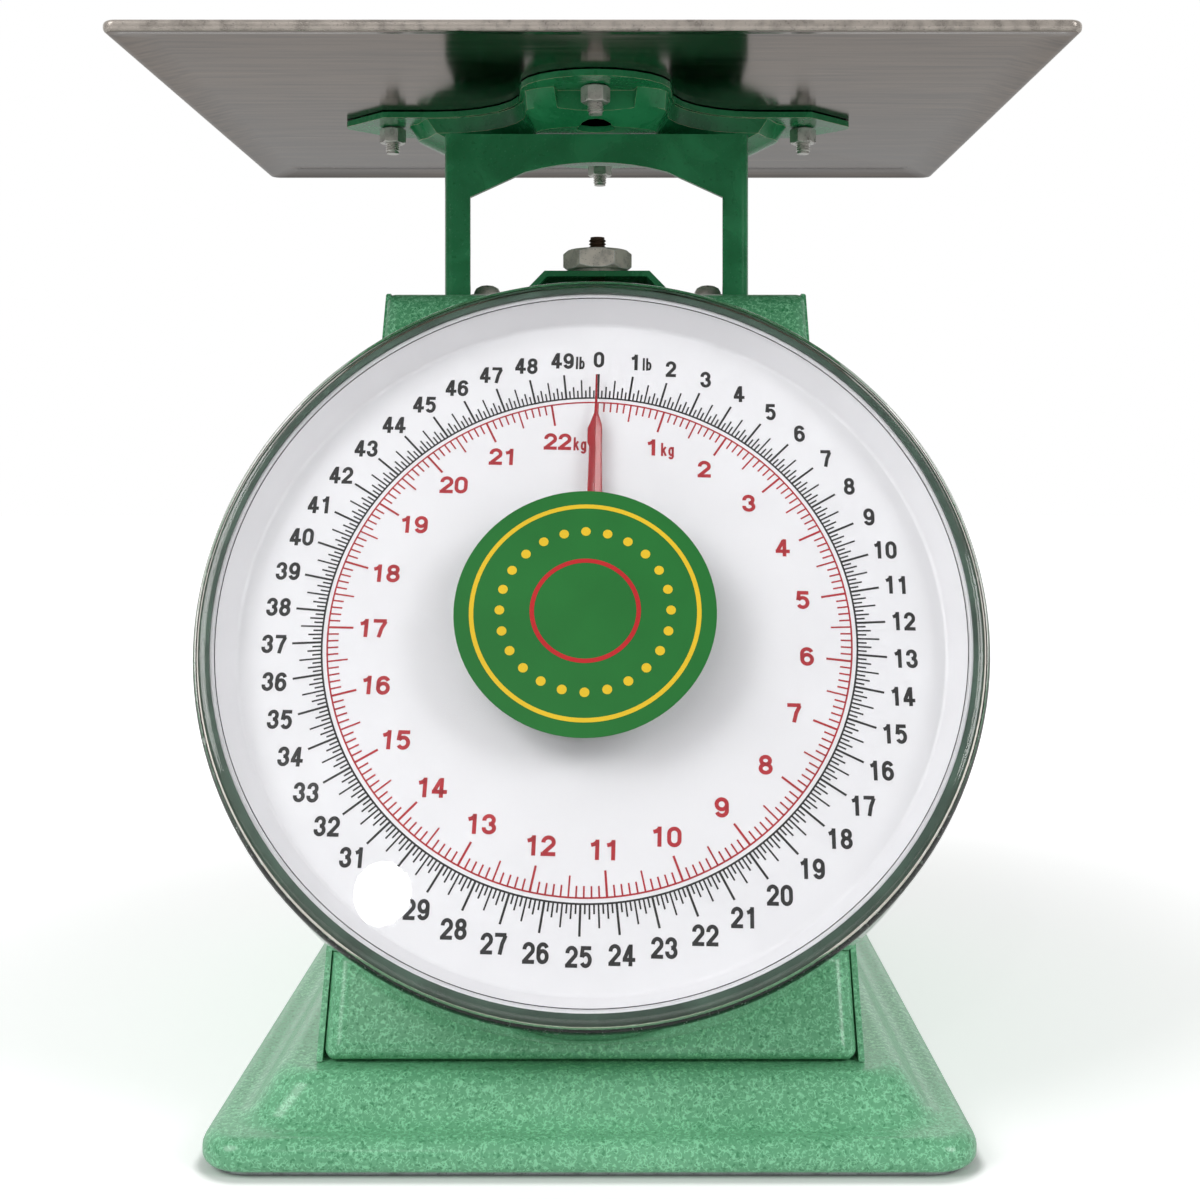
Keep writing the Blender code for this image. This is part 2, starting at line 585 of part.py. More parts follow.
def make_pointer(red, steel, brass, axis):
    base = DIAL_FACE + POINTER_LIFT
    bore = SHAFT_RADIUS + RUN_GAP
    pointer = piece("pointer", pointer_blade(), red, axis)
    shape(pointer, cylinder(POINTER_HUB_RADIUS, base - POINTER_SHEET / 2, base + POINTER_SHEET), "UNION")
    shape(pointer, cylinder(bore, base - 2 * POINTER_SHEET, base + 4 * POINTER_SHEET))

    seat = base + POINTER_SHEET + SEAT_GAP
    shaft_front = seat + CAP_HEIGHT / 2
    socket = shaft_front + SEAT_GAP
    cap = dome(CAP_RADIUS, seat, CAP_HEIGHT) + [(bore, seat), (bore, socket), (0, socket)]
    piece("pointer_cap", turned(cap), brass, axis)

    bush_back = -PANEL_SHEET - SEAT_GAP - BUSH_FLANGE_SHEET
    collar = bush_back - SEAT_GAP
    shaft_back = BRACKET_W - BRACKET_SHEET - BUSH_FLANGE_SHEET
    profile = [(0, shaft_front), (SHAFT_RADIUS, shaft_front), (SHAFT_RADIUS, collar), (COLLAR_RADIUS, collar),
               (COLLAR_RADIUS, collar - COLLAR_LENGTH), (SHAFT_RADIUS, collar - COLLAR_LENGTH),
               (SHAFT_RADIUS, shaft_back), (0, shaft_back)]
    piece("dial_shaft", turned(profile), steel, axis)

    front = [(bore, SEAT_GAP), (BUSH_RADIUS, SEAT_GAP), (BUSH_RADIUS, -PANEL_SHEET - SEAT_GAP),
             (BUSH_FLANGE, -PANEL_SHEET - SEAT_GAP), (BUSH_FLANGE, bush_back), (bore, bush_back)]
    piece("front_bush", turned(front), brass, axis)
    rear_front = BRACKET_W + SEAT_GAP + BUSH_FLANGE_SHEET
    rear = [(bore, rear_front), (BUSH_FLANGE, rear_front), (BUSH_FLANGE, BRACKET_W + SEAT_GAP),
            (BUSH_RADIUS, BRACKET_W + SEAT_GAP), (BUSH_RADIUS, BRACKET_W - BRACKET_SHEET - SEAT_GAP),
            (bore, BRACKET_W - BRACKET_SHEET - SEAT_GAP)]
    piece("rear_bush", turned(rear), brass, axis)

    pitch = math.tau / PINION_TEETH
    tip, root = PINION_PITCH_RADIUS + TOOTH_ADDENDUM, PINION_PITCH_RADIUS - TOOTH_DEDENDUM
    wide, slim = pitch * TOOTH_ROOT_HALF, pitch * TOOTH_TIP_HALF
    gear = []
    for i in range(PINION_TEETH):
        middle = pitch * (i + 0.5)
        for angle, radius in ((-wide, root), (-slim, tip), (slim, tip), (wide, root)):
            gear.append((radius * math.cos(middle + angle), radius * math.sin(middle + angle)))
    low, high = PINION_W - PINION_LENGTH / 2, PINION_W + PINION_LENGTH / 2
    pinion = piece("pinion", prism(gear, low, high), brass, axis, smooth=False)
    shape(pinion, cylinder(bore, low - PINION_LENGTH, high + PINION_LENGTH))


def make_shaft_bracket(steel, axis):
    """A hat-shaped strap behind the panel that holds the shaft's rear bush."""
    half = BRACKET_WIDTH / 2
    foot = -PANEL_SHEET - SEAT_GAP
    back = BRACKET_W - BRACKET_SHEET
    reach, inner, step = half + BRACKET_FOOT, half - BRACKET_SHEET, foot - BRACKET_SHEET
    right = [(inner, BRACKET_W), (inner, foot), (reach, foot), (reach, step), (half, step), (half, back)]
    outline = right + [(-x, w) for x, w in reversed(right)]
    strap = prism(outline, -BRACKET_HEIGHT / 2, BRACKET_HEIGHT / 2, "XZ")
    bracket = piece("shaft_bracket", strap, steel, axis, smooth=False)
    shape(bracket, cylinder(BUSH_RADIUS + RUN_GAP, back - BRACKET_SHEET, BRACKET_W + BRACKET_SHEET))


def spider_half(reach_x, shoulder_x, side_half, tip, arm_half, reach_y, end_rise, fillet):
    """Half of a cross, from the right arm's tip over a round-ended long arm to the left arm's tip."""
    quarter = arc(reach_x - tip, 0, tip, 0, 60, 3) + [(shoulder_x, side_half)]
    quarter += arc(arm_half + fillet, side_half + fillet, fillet, 270, 180, 6)
    quarter += [(arm_half * x, reach_y - end_rise * (1 - y)) for x, y in arc(0, 0, 1, 0, 90, 6)]
    return quarter + [(-x, y) for x, y in reversed(quarter[:-1])]


def spider_outline(sides, front, rear, height):
    """A cross whose side arms have shoulders and small tips; front and rear give reach, rise and fillet."""
    front_half = spider_half(*sides, *front)
    outline = spider_half(*sides, *rear) + [(x, -y) for x, y in reversed(front_half[1:-1])]
    return [(x, y, height) for x, y in outline]


def dish_outline(reach_x, front_y, rear_y, inset, height):
    """The dish's outline at one height, set in from the bracket's sides, with round ends."""
    side_half = SPIDER_SIDE_ARM / 2 - inset
    arm_half = SPIDER_FRONT_ARM / 2 - inset
    shoulder_x = reach_x - DISH_END_ROUND
    ends = []
    for reach_y in (front_y, rear_y):
        room = reach_y - side_half
        rise = min(DISH_END_RISE, room * DISH_RISE_SHARE)
        fillet = min(SPIDER_FILLET + inset, shoulder_x - arm_half - SPIDER_SHEET,
                     (room - rise) * DISH_FILLET_SHARE)
        ends.append((reach_y, rise, fillet))
    return spider_outline((reach_x, shoulder_x, side_half, DISH_END_ROUND, arm_half), *ends, height)


def make_spider(paint, axis):
    wall = SPIDER_SHEET
    sides = (SPIDER_REACH_X, SPIDER_SHOULDER_X, SPIDER_SIDE_ARM / 2, SPIDER_TIP_ROUND, SPIDER_FRONT_ARM / 2)
    end = (SPIDER_REACH_Y, SPIDER_END_RISE, SPIDER_FILLET)
    plate = loft([spider_outline(sides, end, end, z) for z in (SPIDER_UNDER, SPIDER_TOP)])
    spider = piece("tray_bracket", plate, paint, axis)
    crease = SPIDER_TOP - DISH_CREASE_DROP
    dish = [dish_outline(DISH_REACH_X, DISH_FRONT_Y, DISH_REAR_Y, DISH_INSET, SPIDER_UNDER + wall / 2),
            dish_outline(DISH_CREASE_REACH_X, DISH_CREASE_FRONT_Y, DISH_CREASE_REAR_Y, DISH_CREASE_INSET,
                         crease),
            dish_outline(DISH_FLOOR_REACH_X, DISH_FLOOR_FRONT_Y, DISH_FLOOR_REAR_Y, DISH_FLOOR_INSET,
                         DISH_UNDER)]
    shape(spider, loft(dish), "UNION")
    pocket_back = STUD_REACH_Y - POCKET_LENGTH / 2
    cavity = [dish_outline(DISH_REACH_X - wall, pocket_back - wall, DISH_REAR_Y - wall,
                           DISH_INSET + wall, SPIDER_TOP + wall),
              dish_outline(DISH_CREASE_REACH_X - wall, min(DISH_CREASE_FRONT_Y, pocket_back) - wall,
                           DISH_CREASE_REAR_Y - wall, DISH_CREASE_INSET + wall, crease + wall / 2),
              dish_outline(DISH_FLOOR_REACH_X - wall, DISH_FLOOR_FRONT_Y - wall, DISH_FLOOR_REAR_Y - wall,
                           DISH_FLOOR_INSET + wall, DISH_UNDER + wall)]
    shape(spider, loft(cavity))
    pocket_front = SPIDER_REACH_Y + wall
    pocket = [(-POCKET_FRONT_WIDTH / 2, -pocket_front), (POCKET_FRONT_WIDTH / 2, -pocket_front),
              (POCKET_BACK_WIDTH / 2, -pocket_back), (-POCKET_BACK_WIDTH / 2, -pocket_back)]
    shape(spider, prism(pocket, DISH_UNDER - wall, SPIDER_UNDER))
    bores = [(STUD_REACH_X, 0), (-STUD_REACH_X, 0), (0, STUD_REACH_Y), (0, -STUD_REACH_Y)]
    for x, y in bores:
        shape(spider, cylinder(STUD_RADIUS + SEAT_GAP, SPIDER_UNDER - wall, SPIDER_TOP + wall, x, y))
    shape(spider, cylinder(DRAIN_HOLE_RADIUS, DISH_UNDER - wall, SPIDER_UNDER - wall,
                           y=DRAIN_HOLE_RADIUS / 2 - DISH_FLOOR_FRONT_Y))
    return [(x, y + SPIDER_SETBACK) for x, y in bores]


def make_tray(stainless, steel, bores, axis):
    half_x, half_y = TRAY_WIDTH / 2, TRAY_DEPTH / 2

    def ring(inset, height):
        outline = rounded_rectangle(inset - half_x, half_x - inset, inset - half_y, half_y - inset,
                                    TRAY_CORNER - inset)
        return [(x, y, height) for x, y in outline]

    hem = TRAY_HEIGHT - TRAY_HEM_HEIGHT
    edge = TRAY_EDGE_ROUND
    top_edge = arc(edge, TRAY_HEIGHT - edge, edge, 180, 90, 2)
    sheet = loft([ring(edge, hem), ring(0, hem + edge)] + [ring(*p) for p in top_edge])
    tray = piece("tray", sheet, stainless, axis)
    shape(tray, loft([ring(TRAY_HEM_WIDTH, hem - TRAY_SHEET), ring(TRAY_HEM_WIDTH, TRAY_UNDER)]))

    nut_top = SPIDER_UNDER - SEAT_GAP
    stud_low = nut_top - NUT_HEIGHT - STUD_END
    stud_high = TRAY_UNDER - SEAT_GAP
    chamfer = STUD_RADIUS / 4
    stud = [(0, stud_high), (STUD_RADIUS, stud_high), (STUD_RADIUS, stud_low + chamfer),
            (STUD_RADIUS - chamfer, stud_low), (0, stud_low)]
    for place, (x, y) in zip(("right", "left", "rear", "front"), bores):
        piece(f"stud_{place}", moved(turned(stud), x, y), steel, axis)
        nut = hex_nut(NUT_FLATS, NUT_HEIGHT, STUD_RADIUS + RUN_GAP)
        piece(f"nut_{place}", moved(nut, x, y, nut_top - NUT_HEIGHT), steel, axis, smooth=False)


def make_yoke(paint, axis):
    half = YOKE_WIDTH / 2
    front, back = YOKE_FRONT_Y, -YOKE_FRONT_Y
    inner = half - YOKE_SHEET
    inner_bend = YOKE_BEND - YOKE_SHEET
    bend = (half - YOKE_BEND, front + YOKE_BEND)
    right = arc(*bend, inner_bend, -90, 0, 2) + [(inner, back), (half, back)]
    right += arc(*bend, YOKE_BEND, 0, -90, 3)
    section = right + [(-x, y) for x, y in reversed(right)]
    yoke = piece("yoke", prism(section, YOKE_BOTTOM, YOKE_TOP), paint, axis)

    opening = half - POST_WIDTH
    apex, knee = YOKE_TOP - ARCH_APEX_DROP, YOKE_TOP - ARCH_KNEE_DROP
    corner = YOKE_TOP - ARCH_CORNER_DROP
    sag = apex - knee
    radius = (ARCH_KNEE_HALF ** 2 + sag ** 2) / (2 * sag)
    swing = math.degrees(math.asin(ARCH_KNEE_HALF / radius))
    below = YOKE_BOTTOM - YOKE_FOOT
    arch = [(-opening, below), (opening, below), (opening, corner)]
    arch += arc(0, apex - radius, radius, 90 - swing, 90 + swing, 8) + [(-opening, corner)]
    shape(yoke, prism(arch, front - YOKE_SHEET, front + YOKE_BEND, "XZ"))
    tab_outer, tab_front, tab_back = half - YOKE_SHEET / 2, front + YOKE_SHEET / 2, front + YOKE_TAB_DEPTH
    for side in (-1, 1):
        tab = [(side * YOKE_TAB_INNER, tab_front), (side * tab_outer, tab_front),
               (side * tab_outer, tab_back), (side * YOKE_TAB_INNER, tab_back)]
        shape(yoke, prism(tab, YOKE_TOP - YOKE_SHEET, YOKE_TOP), "UNION")
    pins = [(LINK_PIN_Y, UPPER_LINK_HEIGHT, LINK_PIN_RADIUS),
            (LINK_PIN_Y, LOWER_LINK_HEIGHT, LINK_PIN_RADIUS),
            (0, LOAD_BAR_Z, LOAD_BAR_RADIUS)]
    for y, z, radius in pins:
        shape(yoke, cross_cylinder(radius + RUN_GAP, -YOKE_WIDTH, YOKE_WIDTH, y, z))


def headed_pin(name, radius, head, reach, y, z, steel, axis):
    """A pin along X with a flat head past each side of what it joins."""
    seat = reach + SEAT_GAP
    end = seat + PIN_HEAD_LENGTH
    half = [(0, end), (head, end), (head, seat), (radius, seat)]
    profile = half + [(r, -x) for r, x in reversed(half)]
    piece(name, moved(turned(profile, axis="X"), y=y, z=z), steel, axis)


def make_link(name, steel, axis):
    """A fork of two arms and a web; its far eyes are slotted for the yoke's straight travel."""
    half = LINK_WIDTH / 2
    arm = arc(0, 0, LINK_EYE, 90, 270, 8) + arc(LINK_LENGTH, 0, LINK_EYE, -90, 90, 8)
    link = piece(name, prism(arm, half - LINK_SHEET, half, "YZ"), steel, axis)
    shape(link, prism(arm, -half, LINK_SHEET - half, "YZ"), "UNION")
    web = [(LINK_WEB_START, -LINK_EYE), (LINK_WEB_START + LINK_WEB, -LINK_EYE),
           (LINK_WEB_START + LINK_WEB, LINK_SHEET - LINK_EYE), (LINK_WEB_START, LINK_SHEET - LINK_EYE)]
    shape(link, prism(web, LINK_SHEET / 2 - half, half - LINK_SHEET / 2, "YZ"), "UNION")
    shape(link, cross_cylinder(LINK_PIN_RADIUS + RUN_GAP, -LINK_WIDTH, LINK_WIDTH, 0, 0))
    bore = LINK_PIN_RADIUS + 2 * RUN_GAP
    slack = LINK_SLACK + RUN_GAP
    slot = arc(LINK_LENGTH - slack, 0, bore, 90, 270, 10) + arc(LINK_LENGTH + slack, 0, bore, -90, 90, 10)
    shape(link, prism(slot, -LINK_WIDTH, LINK_WIDTH, "YZ"))


def make_linkage(steel, zinc, axis):
    half = LINK_WIDTH / 2 + FRAME_GAP + FRAME_SHEET
    front, back = PIVOT_Y - FRAME_DEPTH / 2, PIVOT_Y + FRAME_DEPTH / 2
    top = UPPER_LINK_HEIGHT - LINK_DROP + FRAME_DEPTH / 2
    inner = half - FRAME_SHEET
    floor = HOUSING_FOOT + FRAME_SHEET
    right = [(half, HOUSING_FOOT), (half, top), (inner, top), (inner, floor)]
    channel = right + [(-x, z) for x, z in reversed(right)]
    frame = piece("link_frame", prism(channel, front, back, "XZ"), zinc, axis, smooth=False)
    for name, height in (("upper", UPPER_LINK_HEIGHT), ("lower", LOWER_LINK_HEIGHT)):
        pivot = height - LINK_DROP
        shape(frame, cross_cylinder(LINK_PIN_RADIUS + RUN_GAP, -BASE_WIDTH, BASE_WIDTH, PIVOT_Y, pivot))
        headed_pin(f"{name}_pivot_pin", LINK_PIN_RADIUS, PIN_HEAD_RADIUS, half, PIVOT_Y, pivot, steel, axis)
        headed_pin(f"{name}_yoke_pin", LINK_PIN_RADIUS, PIN_HEAD_RADIUS, YOKE_WIDTH / 2, LINK_PIN_Y, height,
                   steel, axis)
        hinge = empty(f"{name}_link_axis", axis, (0, PIVOT_Y, pivot), LINK_ANGLE)
        make_link(f"{name}_link", zinc, hinge)
    headed_pin("load_bar", LOAD_BAR_RADIUS, LOAD_BAR_RADIUS + PIN_HEAD_LENGTH, YOKE_WIDTH / 2, 0, LOAD_BAR_Z,
               steel, axis)


def make_rack(brass, axis):
    """A toothed bar in front of the load bar; its teeth lie along the leaning pinion's axis."""
    pitch = math.tau * PINION_PITCH_RADIUS / PINION_TEETH / COS_TILT
    line = PINION_PITCH_RADIUS + MESH_GAP
    tip, root = line - TOOTH_ADDENDUM, line + TOOTH_DEDENDUM
    last = RACK_TEETH - RACK_SPARE_TEETH
    wide, slim = pitch * TOOTH_ROOT_HALF, pitch * TOOTH_TIP_HALF
    profile = []
    for i in range(-RACK_SPARE_TEETH, last):
        middle = PINION_Z + pitch * i
        profile += [(root, middle - wide), (tip, middle - slim), (tip, middle + slim), (root, middle + wide)]
    back = root + RACK_BACK
    bar_top = PINION_Z + pitch * last
    profile += [(root, bar_top), (back, bar_top), (back, LOAD_BAR_Z), (root, LOAD_BAR_Z)]
    lean = TAN_TILT * RACK_WIDTH / 2
    ends = [(-RACK_FORWARD - RACK_WIDTH / 2, lean), (-RACK_FORWARD + RACK_WIDTH / 2, -lean)]
    bar = loft([[(x, y, z + rise) for x, z in profile] for y, rise in ends])
    rack = piece("rack", bar, brass, axis, smooth=False)
    reach = -RACK_FORWARD - RACK_WIDTH / 2
    low, high = LOAD_BAR_Z - RACK_ARM_HEIGHT / 2, LOAD_BAR_Z + RACK_ARM_HEIGHT / 2
    arm = [(reach, low), (0, low), (0, high), (reach, high)]
    shape(rack, prism(arm, root, back, "YZ"), "UNION")
    shape(rack, cross_cylinder(RACK_HUB_RADIUS, root, back, 0, LOAD_BAR_Z), "UNION")
    shape(rack, cross_cylinder(LOAD_BAR_RADIUS + RUN_GAP, -YOKE_WIDTH, YOKE_WIDTH, 0, LOAD_BAR_Z))


def make_zero_adjuster(paint, steel, dark, axis):
    low, high = BRIDGE_FOOT, BRIDGE_TOP
    lean = BRIDGE_SHEET / 2
    right = [(BRIDGE_TOP_HALF, high - BRIDGE_SHEET), (BRIDGE_STEP_HALF, low), (BRIDGE_REACH, low),
             (BRIDGE_REACH, low + BRIDGE_SHEET), (BRIDGE_STEP_HALF + lean, low + BRIDGE_SHEET),
             (BRIDGE_TOP_HALF + lean, high)]
    outline = right + [(-x, z) for x, z in reversed(right)]
    strap = prism(outline, -BRIDGE_DEPTH / 2, BRIDGE_DEPTH / 2, "XZ")
    bridge = piece("zero_bridge", strap, paint, axis, smooth=False)
    shape(bridge, cylinder(ROD_RADIUS + SEAT_GAP, low, high + BRIDGE_SHEET))
    head = low + BRIDGE_SHEET + SEAT_GAP
    washer = head + WASHER_SHEET
    profile = dome(SCREW_HEAD_RADIUS, washer, SCREW_HEAD_HEIGHT)
    profile += [(WASHER_RADIUS, washer), (WASHER_RADIUS, head), (SCREW_RADIUS, head),
                (SCREW_RADIUS, head - SCREW_LENGTH), (0, head - SCREW_LENGTH)]
    for place, side in (("left", -1), ("right", 1)):
        shape(bridge, cylinder(SCREW_RADIUS + SEAT_GAP, low - BRIDGE_SHEET, low + 2 * BRIDGE_SHEET,
                               x=side * BRIDGE_SCREW_X))
        piece(f"bridge_screw_{place}", moved(turned(profile), x=side * BRIDGE_SCREW_X), steel, axis)

    nut = hex_nut(ZERO_NUT_FLATS, ZERO_NUT_HEIGHT, ROD_RADIUS + RUN_GAP,
                  (ZERO_NUT_BOSS_RADIUS, ZERO_NUT_BOSS), steps=24)
    piece("zero_nut", moved(nut, z=ZERO_NUT_Z), steel, axis)

    chamfer = ROD_RADIUS / 4
    rod = [(0, ROD_TOP), (ROD_RADIUS - chamfer, ROD_TOP), (ROD_RADIUS, ROD_TOP - chamfer),
           (ROD_RADIUS, HANGER_Z), (0, HANGER_Z)]
    zero_rod = piece("zero_rod", turned(rod), dark, axis)
    eye_half = ROD_EYE_WIDTH / 2
    shape(zero_rod, cross_cylinder(ROD_EYE_RADIUS, -eye_half, eye_half, 0, HANGER_Z), "UNION")
    shape(zero_rod, cross_cylinder(HANGER_RADIUS + RUN_GAP, -ROD_EYE_WIDTH, ROD_EYE_WIDTH, 0, HANGER_Z))
    end = HANGER_LENGTH / 2
    bar = [(0, end), (HANGER_RADIUS, end), (HANGER_RADIUS, -end), (0, -end)]
    piece("hanger_bar", moved(turned(bar, axis="X"), z=HANGER_Z), steel, axis)


def spring_path():
    """Wire centres from the lower hook, out to the coil, up it and in to the upper hook."""
    low_hook = LOAD_BAR_RADIUS + BAR_GAP + SPRING_WIRE / 2
    high_hook = HANGER_RADIUS + BAR_GAP + SPRING_WIRE / 2
    low, high = LOAD_BAR_Z + low_hook, HANGER_Z - high_hook
    pitch = (high - low) / (SPRING_TURNS + 1)
    hook_steps = [math.radians(a) for a in range(HOOK_END, 180, HOOK_STEP)]
    points = [(0, low_hook * math.sin(a), LOAD_BAR_Z - low_hook * math.cos(a)) for a in hook_steps]
    count = (SPRING_TURNS + 1) * POINTS_PER_TURN
    for i in range(count + 1):
        turn = i / POINTS_PER_TURN
        ramp = min(1.0, 2 * turn, 2 * (SPRING_TURNS + 1 - turn))
        angle = math.tau * turn - math.pi / 2
        radius = SPRING_RADIUS * ramp
        points.append((radius * math.cos(angle), radius * math.sin(angle), low + pitch * turn))
    points += [(0, -high_hook * math.sin(a), HANGER_Z + high_hook * math.cos(a))
               for a in reversed(hook_steps)]
    return [Vector(p) for p in points]


def least_self_gap(points, diameter, skip):
    """The least distance between parts of a wire that are more than a few points apart, less its diameter."""
    gaps = [(a - b).length for i, a in enumerate(points) for b in points[i + skip:]]
    return min(gaps) - diameter


def make_springs(steel, axis):
    points = spring_path()
    for place, side in (("left", -1), ("right", 1)):
        name = f"main_spring_{place}"
        curve = bpy.data.curves.new(name, "CURVE")
        curve.dimensions = "3D"
        curve.bevel_depth = SPRING_WIRE / 2
        curve.bevel_resolution = 1
        curve.use_fill_caps = True
        spline = curve.splines.new("POLY")
        spline.points.add(len(points) - 1)
        for target, point in zip(spline.points, points):
            target.co = (*point, 1.0)
        spring = bpy.data.objects.new(name, curve)
        bpy.context.collection.objects.link(spring)
        spring.parent = axis
        spring.location = (side * SPRING_X, 0, 0)
        curve.materials.append(steel)
    print("least gap of a main spring to itself, mm:",
          round(1000 * least_self_gap(points, SPRING_WIRE, POINTS_PER_TURN // 2 + 1), 3))


def main():
    clear_scene()
    green = finish("hammered green paint", (0.10, 0.33, 0.19), 0.35, 0.2)
    dark_green = finish("dark green paint", (0.03, 0.16, 0.08), 0.3)
    stainless = finish("brushed stainless steel", (0.45, 0.43, 0.41), 0.3, 1.0)
    steel = finish("bright steel", (0.5, 0.5, 0.5), 0.35, 1.0)
    zinc = finish("zinc-plated steel", (0.55, 0.56, 0.58), 0.45, 1.0)
    dark = finish("blackened steel", (0.06, 0.05, 0.04), 0.5, 1.0)
    brass = finish("brass", (0.6, 0.45, 0.18), 0.35, 1.0)
    white = finish("white enamel", (0.85, 0.86, 0.88), 0.4)
    red = finish("red paint", (0.5, 0.02, 0.03), 0.3)
    clear = finish("clear plastic", (0.9, 0.93, 0.92), 0.08, alpha=0.2)

    axis = empty("load_axis", None, (0, load_axis_y(), 0))
    dial_axis = empty("dial_axis", axis, (0, DIAL_Y, DIAL_Z), math.pi / 2 - FACE_TILT)
    make_base(green, zinc, axis)
    make_housing(green, axis, dial_axis)
    make_dial(green, white, clear, dial_axis)
    make_pointer(red, steel, brass, dial_axis)
    make_shaft_bracket(zinc, dial_axis)
    spider_axis = empty("spider_axis", axis, (0, SPIDER_SETBACK, 0))
    bores = make_spider(dark_green, spider_axis)
    make_tray(stainless, steel, bores, axis)
    make_yoke(dark_green, axis)
    make_linkage(steel, zinc, axis)
    make_rack(brass, axis)
    make_zero_adjuster(dark_green, steel, dark, axis)
    make_springs(steel, axis)


main()
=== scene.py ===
"""Looks of the dial platform scale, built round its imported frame."""

import json
import math
from functools import partial, partialmethod

import bmesh
import bpy
from bpy.props import FloatProperty, FloatVectorProperty, IntProperty, PointerProperty
from bpy.types import Operator, Panel, PropertyGroup
from mathutils import Matrix, Vector


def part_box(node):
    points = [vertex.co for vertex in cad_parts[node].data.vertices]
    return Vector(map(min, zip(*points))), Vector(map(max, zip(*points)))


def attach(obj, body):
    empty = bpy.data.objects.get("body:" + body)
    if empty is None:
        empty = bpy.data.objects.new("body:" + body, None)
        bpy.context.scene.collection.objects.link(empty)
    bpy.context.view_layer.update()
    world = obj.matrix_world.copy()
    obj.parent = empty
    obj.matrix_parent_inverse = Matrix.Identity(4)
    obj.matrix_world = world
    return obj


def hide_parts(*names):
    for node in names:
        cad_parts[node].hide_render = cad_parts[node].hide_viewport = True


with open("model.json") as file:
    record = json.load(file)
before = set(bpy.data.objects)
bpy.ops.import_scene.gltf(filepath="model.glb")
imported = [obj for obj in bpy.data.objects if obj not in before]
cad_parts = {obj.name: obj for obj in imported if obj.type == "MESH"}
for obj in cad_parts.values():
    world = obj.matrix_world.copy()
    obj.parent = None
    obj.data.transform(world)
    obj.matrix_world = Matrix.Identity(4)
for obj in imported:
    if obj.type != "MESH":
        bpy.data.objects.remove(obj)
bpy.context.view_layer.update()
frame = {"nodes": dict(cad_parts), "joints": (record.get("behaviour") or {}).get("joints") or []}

bl_info = {
    "name": "Dial platform scale",
    "version": (1, 0, 0),
    "blender": (4, 5, 0),
    "location": "View3D > Sidebar > Scale",
    "description": "Dresses the packed dial platform scale with painted, printed and plated pieces",
    "category": "Object",
}

SPIN = next(j for j in frame["joints"] if j["name"] == "pointer_spin")
OUTWARD = -Vector(SPIN["axis"]).normalized()
ACROSS = Vector((1, 0, 0))
DIAL = (Matrix.Translation(SPIN["pos_m"])
        @ Matrix((ACROSS, OUTWARD.cross(ACROSS), OUTWARD)).transposed().to_4x4())
LOAD_Y = sum(c.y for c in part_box("tray")) / 2
KILOGRAMS_PER_POUND = 0.45359237
HALF_TURN = math.pi
FULL_TURN = 2 * math.pi


# Sizes and colours

length = partial(FloatProperty, unit="LENGTH", precision=5)
place = partial(FloatVectorProperty, unit="LENGTH", subtype="XYZ")
lamp_size = partial(FloatVectorProperty, unit="LENGTH", size=2)
angle = partial(FloatProperty, unit="ROTATION", subtype="ANGLE")
power = partial(FloatProperty, unit="POWER")
count = partial(IntProperty, min=1)


def colour(default, **words):
    """A colour property from screen values of 0 to 255."""
    shares = [value / 255 for value in default]
    linear = [s / 12.92 if s < 0.04045 else ((s + 0.055) / 1.055) ** 2.4 for s in shares]
    return FloatVectorProperty(default=linear, subtype="COLOR", size=3, min=0, max=1, **words)


def named(kind, **entries):
    """Properties of one kind, each named after its key and given its description and default."""
    return {key: kind(name=key.replace("_", " ").capitalize(), description=words, default=default)
            for key, (words, default) in entries.items()}


class ScaleColours(PropertyGroup):
    """Paint, metal, print and label colours."""
    __annotations__ = named(
        colour,
        hammer_dark=("Hollows of the light green hammer paint", (50, 128, 82)),
        hammer_light=("Worms of the light green hammer paint", (148, 222, 176)),
        gloss_dark=("Shaded tone of the dark green paint", (24, 114, 66)),
        gloss_light=("Fresh tone of the dark green paint", (50, 150, 96)),
        # Painted shade: the tray's underside is a darkened, browner copy of its steel; the top keeps the
        # lighter copy.
        stainless=("Brushed tray", (90, 79, 69)),
        tray_top=("Brushed top of the tray", (196, 190, 183)),
        # Painted highlight: the hem's outside is a brightened metal so that it reads light where it
        # faces the front.
        tray_rim=("The hem's rubbed outside", (186, 177, 168)),
        bright_steel=("Studs, nuts, pins and springs", (208, 206, 200)),
        screw_steel=("Dull plate of the bridge's screws", (226, 222, 214)),
        # Painted light: the nut's grey is raised near white to stand in for light that the tray keeps
        # off it.
        grey_steel=("The zero nut's cast grey", (250, 241, 230)),
        grey_edge=("The zero nut's rubbed edges", (252, 248, 242)),
        # Painted shade: a darker copy of the can's green, put on its lip where it is seen through the
        # clear rim.
        can_green=("The can's paint behind the clear rim", (66, 92, 78)),
        zinc=("Sheet pieces inside the housing", (178, 180, 184)),
        black_steel=("The zero rod", (104, 80, 62)),
        brass=("Bushes, pinion and rack", (190, 158, 92)),
        enamel=("The dial plate", (234, 234, 237)),
        black_ink=("Outer scale and its numbers", (16, 14, 16)),
        red_ink=("Inner scale and its numbers", (176, 12, 30)),
        pointer_red=("The pointer's paint", (164, 12, 28)),
        label_green=("Round label on the cover", (26, 122, 46)),
        label_yellow=("Ring and dots on the label", (248, 206, 36)),
        label_red=("Inner ring on the label", (206, 32, 36)),
        clear=("The cover", (251, 251, 251)),
        # Painted look of the cover's wall seen edge-on, not a tint of the plastic.
        clear_rim=("Where the cover is seen through its wall", (186, 176, 164)),
        # Rubbed paint and painted highlight: the pale tone put on downward rounded edges.
        worn_edge=("Paint rubbed thin along pressed edges", (206, 204, 168)),
        floor=("Floor and backdrop", (236, 236, 236)),
    )


